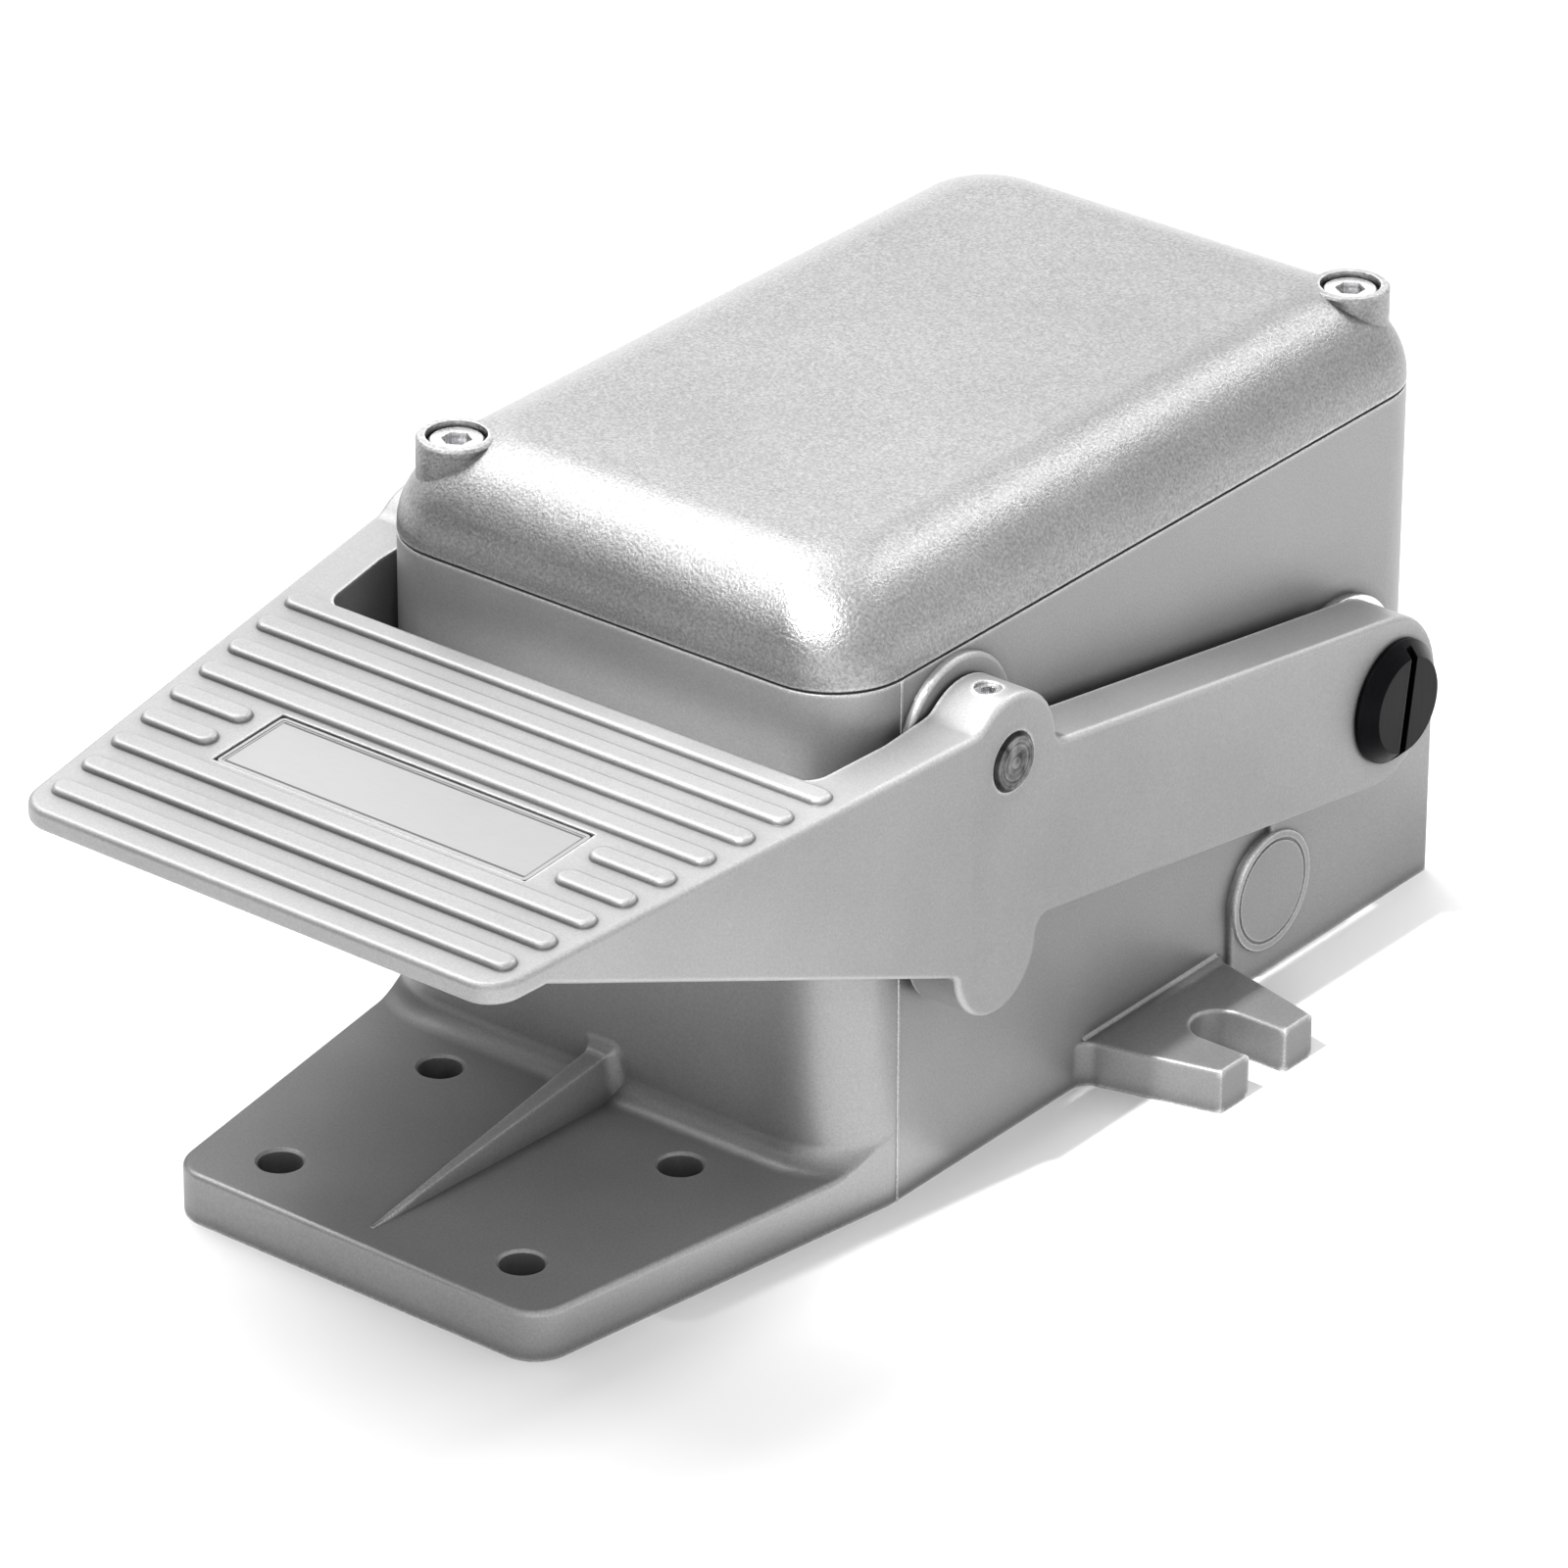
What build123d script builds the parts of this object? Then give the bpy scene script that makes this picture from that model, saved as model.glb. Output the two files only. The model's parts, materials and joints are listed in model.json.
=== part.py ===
from build123d import *
import math
import os

# Foot pedal air valve, millimetres, +Z up, the front of the pedal towards -Y.
# The origin is on the ground, in the middle of the four bolt holes of the front flange.
# A place along the length is given as a distance behind the housing's front wall.

# Flange in front of the housing, with its bolt holes
bolt_spacing_x = 45.0
bolt_spacing_y = 35.0
bolt_hole_radius = 3.3
bolt_hole_chamfer = 0.4
bolt_row_to_wall = 9.9
flange_thickness = 8.0
flange_front_margin = 10.7
flange_front_width = 68.0
flange_taper_end_from_front = 10.5
flange_corner_radius = 6.0
flange_top_round = 0.9
flange_rib_front_margin = 4.6
flange_rib_rise = 7.0
flange_rib_top_width = 3.6
flange_rib_base_width = 6.6
flange_rib_wall_radius = 2.6
wall_foot_radius = 3.8

# Housing casting
housing_width = 88.8
housing_length = 141.8
housing_height = 83.6
corner_radius = 12.2
wall_thickness = 5.0
floor_thickness = 5.0
parting_ridge_width = 0.4
parting_ridge_proud = 0.15
cover_screw_inset = 9.8
screw_column_radius = 6.6
screw_column_height = 38.0

# Fork lugs on the sides of the housing
fork_from_front = 72.5
fork_root_width = 33.0
fork_end_width = 22.4
fork_reach = 21.4
fork_thickness = 7.2
fork_slot_width = 9.0
fork_slot_depth = 12.9
fork_root_radius = 3.0
fork_edge_round = 0.7

# Rear block with the air ports
port_block_from_front = 91.5
port_block_height = 34.0
port_block_proud = 1.0
port_block_rear_proud = 1.0
port_block_inner_from_front = 104.0
port_block_edge_radius = 1.6
port_block_rim_round = 0.5
side_disc_from_front = 101.0
side_disc_height = 13.6
side_disc_radius = 9.5
side_disc_proud = 0.4
side_disc_groove_radius = 8.2
side_disc_groove_width = 0.5
side_disc_groove_depth = 0.25
port_spacing = 24.0
port_height = 17.0
port_thread_radius = 5.72
port_thread_depth = 14.0
port_channel_radius = 4.0
port_spot_radius = 9.5
port_spot_depth = 0.6

# Cover
cover_height = 15.1
cover_round_radius = 14.6
cover_corner_shrink = 0.34
cover_wall = 4.0
cover_pocket_height = 10.6
cover_pocket_round = 7.5
cover_tower_radius = 5.95
cover_tower_below_top = 0.5
cover_tower_chamfer = 0.4
screw_head_radius = 4.25
screw_head_height = 5.0
screw_head_sunk = 0.7
screw_shank_radius = 2.5
screw_length = 24.0
screw_hex_across = 4.0
screw_hex_depth = 2.6
gasket_thickness = 0.5
gasket_inset = 0.4

# Pedal hinge at the rear and cross shaft in the lugs
pivot_from_front = 116.5
pivot_height = 42.5
shaft_from_front = 23.5
shaft_height = 70.0
pedal_travel_degrees = 8.0
shaft_radius = 4.5
shaft_end_proud = 0.6
shaft_end_chamfer = 0.5
pivot_shoulder_radius = 6.0
pivot_thread_radius = 4.0
pivot_thread_length = 11.5
pivot_head_radius = 9.7
pivot_head_height = 2.8
pivot_head_chamfer = 2.2
pivot_slot_width = 1.6
pivot_slot_depth = 1.5
bush_wall = 1.0
bush_flange_radius = 10.5

# Rims on the housing's side walls
slot_play = 0.75
slot_rim_radius = 12.4
slot_rim_proud = 1.4
rim_front_gap = 5.0
slot_rim_round = 0.8
pivot_rim_radius = 13.2
pivot_rim_proud = 0.9
pivot_boss_radius = 10.0
pivot_boss_depth = 7.0

# Pedal casting
pedal_side_gap = 0.5
pedal_side_thickness = 9.2
pedal_taper_degrees = 7.77
cheek_thickness = 8.2
tread_rear_gap = 8.3
tread_length = 66.2
tread_rear_height = 75.6
tread_pitch_degrees = 3.87
tread_thickness = 3.4
tread_corner_radius = 5.5
pedal_edge_round = 1.0
tread_inner_corner_radius = 4.0
taper_bend_from_front = 14.6
taper_bend_radius = 8.0
hump_radius = 10.3
hump_front_radius = 4.0
hump_rear_radius = 2.2
lug_foot_radius = 2.2
lug_front_radius = 1.2
lug_root_radius = 9.75
lug_end_radius = 9.0
lug_end_from_front = 20.8
lug_end_height = 40.0
arm_half_depth = 13.5
arm_end_from_front = 114.3
arm_end_height = 42.7
arm_root_from_front = 22.5
arm_root_height = 57.3
cheek_tip_behind_tread_front = 9.9

# Tread ribs and the blank name plate
rib_count = 9
tread_front_margin = 4.38
rib_width = 3.9
rib_height = 0.9
rib_top_round = 0.8
rib_side_margin = 2.6
short_rib_rows = (4, 5)
short_rib_start = 31.2
plate_width = 56.4
plate_depth = 14.4
plate_thickness = 0.5
plate_corner_radius = 0.8
plate_recess_depth = 0.7
plate_gap = 0.3

# Set screws over the shaft and dust rings round it
set_screw_radius = 2.0
set_screw_below_top = 0.5
set_screw_hex_across = 2.0
set_screw_hex_depth = 1.8
shaft_flat_depth = 0.3
seal_outer_radius = 9.0
seal_seat_depth = 1.5

# Valve inside the housing
valve_width = 62.0
valve_from_front = 8.0
valve_height = 25.0
valve_corner_radius = 3.0
tower_radius = 15.0
tower_height = 42.0
plunger_axis_from_front = 22.0
guide_outer_radius = 10.0
guide_length = 12.0
plunger_radius = 8.0
plunger_bore_radius = 6.1
plunger_head_radius = 11.0
plunger_head_thickness = 4.0
plunger_head_round = 1.2
plunger_under_shaft = 0.3
plunger_stop_gap = 0.5
large_bore_radius = 8.4
ledge_height = 24.5
spool_radius = 5.0
spool_neck_radius = 3.0
spool_land_length = 4.0
spool_neck_length = 3.0
spool_top_below_ledge = 1.0
spool_stem_top = 50.0
spool_travel = 5.0
spring_plate_height = 46.0
spring_plate_thickness = 2.0
spring_plate_radius = 5.9
circlip_thickness = 0.8
circlip_radius = 4.3
circlip_groove_depth = 0.5
spring_wire_radius = 0.5
spring_mean_radius = 5.3
return_spring_turns = 6
override_spring_turns = 4
gallery_radius = 3.0
cross_gallery_radius = 2.5
cross_gallery_offset = 4.5
valve_screw_radius = 2.0
valve_screw_head_radius = 3.5
valve_screw_head_height = 4.0
valve_screw_depth = 4.0
valve_screw_hex_across = 3.0
valve_screw_hex_depth = 2.0
valve_screw_front = (24.0, 4.5)
valve_screw_rear = (12.0, 5.0)
ring_section_radius = 0.75
port_ring_radius = 5.4
spool_ring_section_radius = 0.6

# Clearances
fit_clearance = 0.05
loose_clearance = 0.3

# Places that follow from the sizes above
half_width = housing_width / 2
front_wall_y = bolt_spacing_y / 2 + bolt_row_to_wall
flange_front_y = -bolt_spacing_y / 2 - flange_front_margin
joint_z = housing_height
cover_z = joint_z + gasket_thickness
cover_top_z = cover_z + cover_height
tower_top_z = cover_top_z - cover_tower_below_top
screw_seat_z = tower_top_z - screw_head_sunk - screw_head_height
hinge_rim_face = half_width + pivot_rim_proud
arm_inner = half_width + slot_rim_proud + pedal_side_gap
pedal_side = arm_inner + pedal_side_thickness
rib_pitch = (tread_length - tread_front_margin - rib_width) / (rib_count - 1)
tan_pitch = math.tan(math.radians(tread_pitch_degrees))
tan_taper = math.tan(math.radians(pedal_taper_degrees))
rise_degrees = math.degrees(math.atan2(arm_root_height - arm_end_height, arm_end_from_front - arm_root_from_front))
pedal_travel = math.radians(pedal_travel_degrees)
plunger_travel = ((pivot_from_front - shaft_from_front) * math.sin(pedal_travel)
                  + (shaft_height - pivot_height) * (1 - math.cos(pedal_travel)))


def from_front(distance):
    return front_wall_y + distance


pivot_y = from_front(pivot_from_front)
shaft_y = from_front(shaft_from_front)
tread_rear_y = from_front(-tread_rear_gap)
tread_front_y = tread_rear_y - tread_length
housing_mid_y = from_front(housing_length / 2)
housing_rear_y = from_front(housing_length)
port_face_y = housing_rear_y + port_block_rear_proud
plunger_y = from_front(plunger_axis_from_front)
valve_rear_y = from_front(port_block_inner_from_front)
cover_screws_at = (
    (-half_width + cover_screw_inset, from_front(cover_screw_inset)),
    (half_width - cover_screw_inset, housing_rear_y - cover_screw_inset),
)


def side_plane(x):
    """Plane across the width at x, its sketch axes along Y and Z."""
    return Plane(origin=(x, 0, 0), x_dir=(0, 1, 0), z_dir=(1, 0, 0))


def along_x(x_low, x_high, y, z, radius):
    """Round bar along X."""
    return extrude(side_plane(x_low) * Pos(y, z) * Circle(radius), x_high - x_low)


def along_y(x, y_low, y_high, z, radius):
    """Round bar along Y."""
    face = Plane(origin=(x, y_low, z), z_dir=(0, 1, 0)) * Circle(radius)
    return extrude(face, y_high - y_low)


def along_z(x, y, z_low, z_high, radius):
    """Round bar along Z."""
    return extrude(Plane(origin=(x, y, z_low)) * Circle(radius), z_high - z_low)


def both_sides(right_piece):
    """The right-hand piece and its mirror image on the left."""
    return right_piece, mirror(right_piece, about=Plane.YZ)


def rounded_block(inset, radius, z_low, z_high):
    """Upright block on the housing's outline, moved in by the inset."""
    outline = RectangleRounded(housing_width - 2 * inset, housing_length - 2 * inset, radius)
    return extrude(Plane(origin=(0, housing_mid_y, z_low)) * outline, z_high - z_low)


def joined(pieces):
    """Separate solids of one node, kept apart."""
    return Compound(children=[solid for piece in pieces for solid in piece.solids()])


def shaft_path_arc():
    """Path of the shaft's middle about the hinge, from rest to fully pressed."""
    reach = math.hypot(pivot_from_front - shaft_from_front, shaft_height - pivot_height)
    rest_angle = math.degrees(math.atan2(shaft_height - pivot_height, shaft_from_front - pivot_from_front))
    end_play = math.degrees(slot_play / reach)
    sweep = pedal_travel_degrees + 2 * end_play
    return CenterArc((pivot_y, pivot_height), reach, rest_angle - end_play, sweep)


def flange():
    """Bolt-down flange, its sides widening to the housing's width, coved to the wall behind it."""
    half_front = flange_front_width / 2
    taper_y = from_front(flange_taper_end_from_front)
    rear_y = from_front(corner_radius + wall_thickness)
    outline = [(half_front, flange_front_y), (half_width, taper_y), (half_width, rear_y)]
    left = [(-x, y) for x, y in reversed(outline)]
    face = make_face(Polyline(*outline, *left, close=True))
    face = fillet(face.vertices().sort_by(Axis.Y)[:2], flange_corner_radius)
    prism = extrude(face, flange_thickness + 2 * wall_foot_radius)

    # The cove runs round a wide plate first, then all is cut to the flange's outline
    wide_rear_y = from_front(2 * corner_radius)
    body = Pos(0, (flange_front_y + wide_rear_y) / 2, flange_thickness / 2) * Box(
        2 * housing_width, wide_rear_y - flange_front_y, flange_thickness)
    body += rounded_block(0, corner_radius, 0, housing_height)
    foot = [edge for edge in flange_top_edges(body)
            if front_wall_y - fit_clearance < edge.center().Y < wide_rear_y - fit_clearance
            and abs(edge.center().X) < half_width + fit_clearance]
    body = fillet(foot, wall_foot_radius) & prism
    rim = [edge for edge in flange_top_edges(body) if edge.center().Y < front_wall_y - 2 * wall_foot_radius]
    return fillet(rim, flange_top_round)


def flange_top_edges(body):
    """Edges that lie in the flange's top face."""
    return [edge for edge in body.edges()
            if abs((edge @ 0).Z - flange_thickness) < 0.001
            and abs((edge @ 0.5).Z - flange_thickness) < 0.001
            and abs((edge @ 1).Z - flange_thickness) < 0.001]


def flange_rib():
    """Wedge on the flange that rises to the front wall and flares out where it meets it."""
    def section(y, top_width, base_width, rise):
        plane = Plane(origin=(0, y, flange_thickness - 0.5), x_dir=(1, 0, 0), z_dir=(0, -1, 0))
        points = [(-base_width / 2, 0), (base_width / 2, 0), (top_width / 2, rise), (-top_width / 2, rise)]
        return plane * make_face(Polyline(*points, close=True))
    tip_y = flange_front_y + flange_rib_front_margin
    wall_y = from_front(wall_thickness / 2)
    wedge = loft([
        section(wall_y, flange_rib_top_width, flange_rib_base_width, flange_rib_rise + 0.5),
        section(tip_y, 0.5, 0.9, 0.6),
    ], ruled=True)
    wall_height = flange_thickness + 3 * flange_rib_rise
    wedge += Pos(0, (front_wall_y + wall_y) / 2, wall_height / 2) * Box(
        4 * flange_rib_base_width, wall_y - front_wall_y, wall_height)
    meeting = [edge for edge in wedge.edges()
               if abs((edge @ 0).Y - front_wall_y) < 0.001
               and abs((edge @ 1).Y - front_wall_y) < 0.001
               and abs(edge.center().X) < flange_rib_base_width
               and flange_thickness < edge.center().Z < wall_height - 1]
    return fillet(meeting, flange_rib_wall_radius)


def fork_lug():
    """Right-hand fork lug, its slot open to the side."""
    y = from_front(fork_from_front)
    x_root = half_width - wall_thickness / 2
    x_end = half_width + fork_reach
    strip = fork_root_width / 2 + 2 * fork_root_radius
    outline = make_face(Polyline(
        (x_root, y - strip), (half_width, y - strip), (half_width, y - fork_root_width / 2),
        (x_end, y - fork_end_width / 2), (x_end, y + fork_end_width / 2),
        (half_width, y + fork_root_width / 2), (half_width, y + strip), (x_root, y + strip),
        close=True))
    corners = [outline.vertices().sort_by_distance((half_width, y + side * fork_root_width / 2, 0))[0]
               for side in (-1, 1)]
    lug = extrude(fillet(corners, fork_root_radius), fork_thickness)
    centre_x = x_end - fork_slot_depth + fork_slot_width / 2
    slot = along_z(centre_x, y, 0, fork_thickness, fork_slot_width / 2)
    slot += Pos((centre_x + x_end) / 2, y, fork_thickness / 2) * Box(
        x_end - centre_x, fork_slot_width, fork_thickness)
    lug -= slot
    top = lug.edges().group_by(Axis.Z)[-1]
    outer = [edge for edge in top if edge.center().X > half_width + 0.1]
    return fillet(outer, fork_edge_round)


def port_block():
    """Lower rear block, proud of the side walls, square at the rear corners."""
    outer = half_width + port_block_proud
    low_y = from_front(port_block_from_front)
    disc_y = from_front(side_disc_from_front)
    block = Pos(0, (disc_y + port_face_y) / 2, port_block_height / 2) * Box(
        2 * outer, port_face_y - disc_y, port_block_height)
    block += Pos(0, (low_y + disc_y) / 2, side_disc_height / 2) * Box(
        2 * outer, disc_y - low_y, side_disc_height)
    block += along_x(-outer, outer, disc_y, side_disc_height, side_disc_radius)
    rear = block.edges().filter_by(Axis.Z).group_by(Axis.Y)[-1]
    block = fillet(rear, port_block_edge_radius)
    smooth_y = port_face_y - port_block_edge_radius
    rim = [edge for edge in block.edges()
           if (abs(abs(edge.center().X) - outer) < 0.001 and edge.center().Z > 0.1 and edge.center().Y < smooth_y - 0.1)
           or (abs(edge.center().Z - port_block_height) < 0.001 and edge.center().Y > smooth_y)]
    return fillet(rim, port_block_rim_round)


def housing():
    body = rounded_block(0, corner_radius, 0, housing_height)
    body += port_block()
    body += flange()
    body += [lug for lug in both_sides(fork_lug())]

    # Rims round the shaft's slots and the hinge, on both walls
    path = shaft_path_arc()
    rim_face = half_width + slot_rim_proud
    rim = extrude(side_plane(half_width - 1) * SlotArc(path, 2 * slot_rim_radius), slot_rim_proud + 1)
    rim = fillet(rim.edges().group_by(Axis.X)[-1], slot_rim_round)
    body += [piece for piece in both_sides(rim)]
    hinge_rim = along_x(half_width - 1, hinge_rim_face, pivot_y, pivot_height, pivot_rim_radius)
    body += [piece for piece in both_sides(hinge_rim)]
    disc_face = half_width + port_block_proud + side_disc_proud
    disc_at = (from_front(side_disc_from_front), side_disc_height)
    disc = along_x(half_width, disc_face, *disc_at, side_disc_radius)
    groove_floor = disc_face - side_disc_groove_depth
    disc -= (along_x(groove_floor, disc_face, *disc_at, side_disc_groove_radius + side_disc_groove_width / 2)
             - along_x(groove_floor, disc_face, *disc_at, side_disc_groove_radius - side_disc_groove_width / 2))
    body += [piece for piece in both_sides(disc)]

    # Ridge left by the casting die where the walls turn into the front corners
    body += Pos(0, from_front(corner_radius), housing_height / 2) * Box(
        housing_width + 2 * parting_ridge_proud, parting_ridge_width, housing_height)

    # Hollow inside, with its floor, the port block and the columns left standing
    hollow = rounded_block(wall_thickness, corner_radius - wall_thickness, floor_thickness, housing_height)
    inner_y = valve_rear_y
    hollow -= Pos(0, (inner_y + housing_rear_y) / 2, port_block_height / 2) * Box(
        housing_width, housing_rear_y - inner_y, port_block_height)
    for x, y in cover_screws_at:
        hollow -= along_z(x, y, housing_height - screw_column_height, housing_height, screw_column_radius)
    boss_start = half_width - wall_thickness - pivot_boss_depth
    for boss in both_sides(along_x(boss_start, half_width, pivot_y, pivot_height, pivot_boss_radius)):
        hollow -= boss
    body -= hollow
    body += flange_rib()

    # Holes
    for x in (-bolt_spacing_x / 2, bolt_spacing_x / 2):
        for y in (-bolt_spacing_y / 2, bolt_spacing_y / 2):
            body -= along_z(x, y, 0, flange_thickness, bolt_hole_radius)
            body -= Pos(x, y, flange_thickness - bolt_hole_chamfer / 2) * Cone(
                bolt_hole_radius, bolt_hole_radius + bolt_hole_chamfer, bolt_hole_chamfer)
    slot = extrude(side_plane(boss_start) * SlotArc(path, 2 * (shaft_radius + slot_play)),
                   rim_face - boss_start)
    for piece in both_sides(slot):
        body -= piece
    thread_end = hinge_rim_face - pivot_thread_length - 1
    for piece in both_sides(along_x(thread_end, hinge_rim_face, pivot_y, pivot_height,
                                    pivot_thread_radius + fit_clearance)):
        body -= piece
    for x, y in cover_screws_at:
        body -= along_z(x, y, screw_seat_z - screw_length - 2, housing_height,
                        screw_shank_radius + fit_clearance)
    spot_y = port_face_y - port_spot_depth
    for x in (-port_spacing, 0, port_spacing):
        body -= along_y(x, valve_rear_y, spot_y, port_height, port_channel_radius)
        body -= along_y(x, spot_y - port_thread_depth, spot_y, port_height, port_thread_radius)
        body -= along_y(x, spot_y, port_face_y, port_height, port_spot_radius)
    for x, y in valve_screw_places():
        body -= along_z(x, y, floor_thickness - valve_screw_depth, floor_thickness,
                        valve_screw_radius + fit_clearance)
    return body


def cover_outer():
    """Lid form: sections that draw in along a quarter circle, up to the flat top."""
    straight = cover_height - cover_round_radius
    skirt = rounded_block(0, corner_radius, cover_z, cover_z + straight)
    sections = []
    for degrees in (0, 14, 28, 42, 56, 70, 82, 90):
        angle = math.radians(degrees)
        inset = cover_round_radius * (1 - math.cos(angle))
        height = cover_z + straight + cover_round_radius * math.sin(angle)
        outline = RectangleRounded(housing_width - 2 * inset, housing_length - 2 * inset,
                                   corner_radius - cover_corner_shrink * inset)
        sections.append(Plane(origin=(0, housing_mid_y, height)) * outline)
    return skirt + loft(sections)


def cover():
    lid = cover_outer()
    for x, y in cover_screws_at:
        tower = along_z(x, y, cover_z, tower_top_z, cover_tower_radius)
        lid += chamfer(tower.edges().group_by(Axis.Z)[-1], cover_tower_chamfer)
    pocket = rounded_block(cover_wall, corner_radius - cover_wall, cover_z, cover_z + cover_pocket_height)
    pocket = fillet(pocket.edges().group_by(Axis.Z)[-1], cover_pocket_round)
    for x, y in cover_screws_at:
        pocket -= along_z(x, y, cover_z, cover_top_z, screw_column_radius)
    lid -= pocket
    for x, y in cover_screws_at:
        lid -= along_z(x, y, cover_z, tower_top_z, screw_shank_radius + loose_clearance)
        lid -= along_z(x, y, screw_seat_z, tower_top_z, screw_head_radius + loose_clearance)
    return lid


def cover_gasket():
    ring = rounded_block(gasket_inset, corner_radius - gasket_inset, joint_z, cover_z)
    inner = rounded_block(wall_thickness, corner_radius - wall_thickness, joint_z, cover_z)
    for x, y in cover_screws_at:
        inner -= along_z(x, y, joint_z, cover_z, screw_column_radius)
    ring -= inner
    for x, y in cover_screws_at:
        ring -= along_z(x, y, joint_z, cover_z, screw_shank_radius + loose_clearance)
    return ring


def cap_screw(x, y, seat_z, head_radius, head_height, shank_radius, length, hex_across, hex_depth):
    """Socket head cap screw standing on its seat, pointing down."""
    head = along_z(x, y, seat_z, seat_z + head_height, head_radius)
    head = chamfer(head.edges().group_by(Axis.Z)[-1], 0.1 * head_height)
    head -= extrude(Plane(origin=(x, y, seat_z + head_height)) *
                    RegularPolygon(hex_across / 2, 6, major_radius=False), -hex_depth)
    return head + along_z(x, y, seat_z - length, seat_z, shank_radius)


def cover_screws():
    return joined([
        cap_screw(x, y, screw_seat_z, screw_head_radius, screw_head_height, screw_shank_radius,
                  screw_length, screw_hex_across, screw_hex_depth)
        for x, y in cover_screws_at])


def tread_height(y):
    """Height of the tread's flat top over the ground at y."""
    return tread_rear_height - tan_pitch * (tread_rear_y - y)


def pedal_half_width(y):
    """Outer half width of the tread and cheeks at y."""
    return pedal_side - tan_taper * max(from_front(taper_bend_from_front) - y, 0)


def tapered_bar(start, start_radius, end, end_radius):
    """Outline round two circles, its straight sides tangent to both."""
    start = Vector(*start)
    end = Vector(*end)
    along = (end - start).normalized()
    across = Vector(-along.Y, along.X)
    lean = (start_radius - end_radius) / (end - start).length
    spread = math.sqrt(1 - lean * lean)
    left = along * lean + across * spread
    right = along * lean - across * spread
    return make_face([
        Line(start + right * start_radius, end + right * end_radius),
        ThreePointArc(end + right * end_radius, end + along * end_radius, end + left * end_radius),
        Line(end + left * end_radius, start + left * start_radius),
        ThreePointArc(start + left * start_radius, start - along * start_radius, start + right * start_radius),
    ])


def side_profile():
    """Outline of cheek, lug and arm, seen from the side, in one piece."""
    lug_y = from_front(lug_end_from_front)
    arm_root = (from_front(arm_root_from_front), arm_root_height)
    hump = Pos(shaft_y, shaft_height) * Rot(0, 0, -90) * Circle(hump_radius)
    lug = tapered_bar(arm_root, lug_root_radius, (lug_y, lug_end_height), lug_end_radius)
    arm = tapered_bar(arm_root, arm_half_depth, (from_front(arm_end_from_front), arm_end_height), arm_half_depth)
    front_y = tread_front_y + cheek_tip_behind_tread_front
    cheek = make_face(Polyline(
        (front_y, tread_height(front_y)),
        (front_y, tread_height(front_y) - tread_thickness),
        (lug_y - lug_end_radius, lug_end_height),
        (lug_y, lug_end_height),
        (lug_y, tread_height(lug_y)),
        close=True))
    profile = hump + lug + arm + cheek
    corners = (
        (shaft_y - 0.7 * hump_radius, shaft_height + 0.7 * hump_radius, hump_front_radius),
        (shaft_y + hump_radius, shaft_height, hump_rear_radius),
        (lug_y + lug_end_radius, lug_end_height + 3, lug_foot_radius),
        (lug_y - lug_end_radius, lug_end_height, lug_front_radius),
    )
    for y, z, radius in corners:
        nearest = profile.vertices().sort_by_distance((y, z, 0))[0]
        profile = fillet(nearest, radius)
    return profile


def side_plan():
    """Outline of the right-hand side from above: tapering cheek, then straight arm."""
    front_y = tread_front_y - tread_corner_radius
    bend_y = from_front(taper_bend_from_front)
    inner_bend_y = shaft_y - slot_rim_radius - rim_front_gap
    rear_y = pivot_y + 2 * arm_half_depth
    plan = make_face(Polyline(
        (pedal_half_width(front_y), front_y),
        (pedal_side, bend_y),
        (pedal_side, rear_y),
        (arm_inner, rear_y),
        (arm_inner, inner_bend_y),
        (pedal_half_width(front_y) - cheek_thickness, front_y),
        close=True))
    return fillet(plan.vertices().sort_by_distance((pedal_side, bend_y, 0))[0], taper_bend_radius)


def tread_plate():
    """Flat of the tread, with round front corners, sloping to the front."""
    half_front = pedal_half_width(tread_front_y)
    half_rear = pedal_half_width(tread_rear_y)
    points = [(half_front, tread_front_y), (half_rear, tread_rear_y),
              (-half_rear, tread_rear_y), (-half_front, tread_front_y)]
    outline = make_face(Polyline(*points, close=True))
    outline = fillet(outline.vertices().sort_by(Axis.Y)[:2], tread_corner_radius)
    prism = extrude(Plane(origin=(0, 0, lug_end_height)) * outline, tread_rear_height)
    ends = ((tread_front_y - 5, 0), (tread_rear_y + 5, 0))
    top = [(y, tread_height(y)) for y, _ in ends]
    bottom = [(y, tread_height(y) - tread_thickness) for y, _ in reversed(ends)]
    slab = extrude(side_plane(0) * make_face(Polyline(*top, *bottom, close=True)), pedal_side, both=True)
    return prism & slab


def tread_plane(distance_from_rear):
    """Plane on the tread's top, its x across and its y up the slope."""
    y = tread_rear_y - distance_from_rear * math.cos(math.radians(tread_pitch_degrees))
    return Plane(origin=(0, y, tread_height(y)), x_dir=(1, 0, 0),
                 z_dir=(0, -math.sin(math.radians(tread_pitch_degrees)),
                        math.cos(math.radians(tread_pitch_degrees))))


def tread_rib(row, x_low, x_high):
    """One raised rib with a rounded top, sunk a little into the tread."""
    plane = tread_plane(rib_width / 2 + 0.1 + row * rib_pitch)
    bar = extrude(plane * Pos((x_low + x_high) / 2, 0) * SlotOverall(x_high - x_low, rib_width), rib_height)
    top = bar.faces().sort_by(Axis.Z)[-1]
    return fillet(top.edges(), rib_top_round)


def tread_ribs():
    ribs = []
    for row in range(rib_count):
        end = pedal_half_width(tread_plane(rib_width / 2 + row * rib_pitch).origin.Y) - rib_side_margin
        if row in short_rib_rows:
            ribs.append(tread_rib(row, short_rib_start, end))
            ribs.append(tread_rib(row, -end, -short_rib_start))
        else:
            ribs.append(tread_rib(row, -end, end))
    return ribs


def plate_plane():
    middle_row = sum(short_rib_rows) / len(short_rib_rows)
    return tread_plane(rib_width / 2 + middle_row * rib_pitch)


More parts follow.
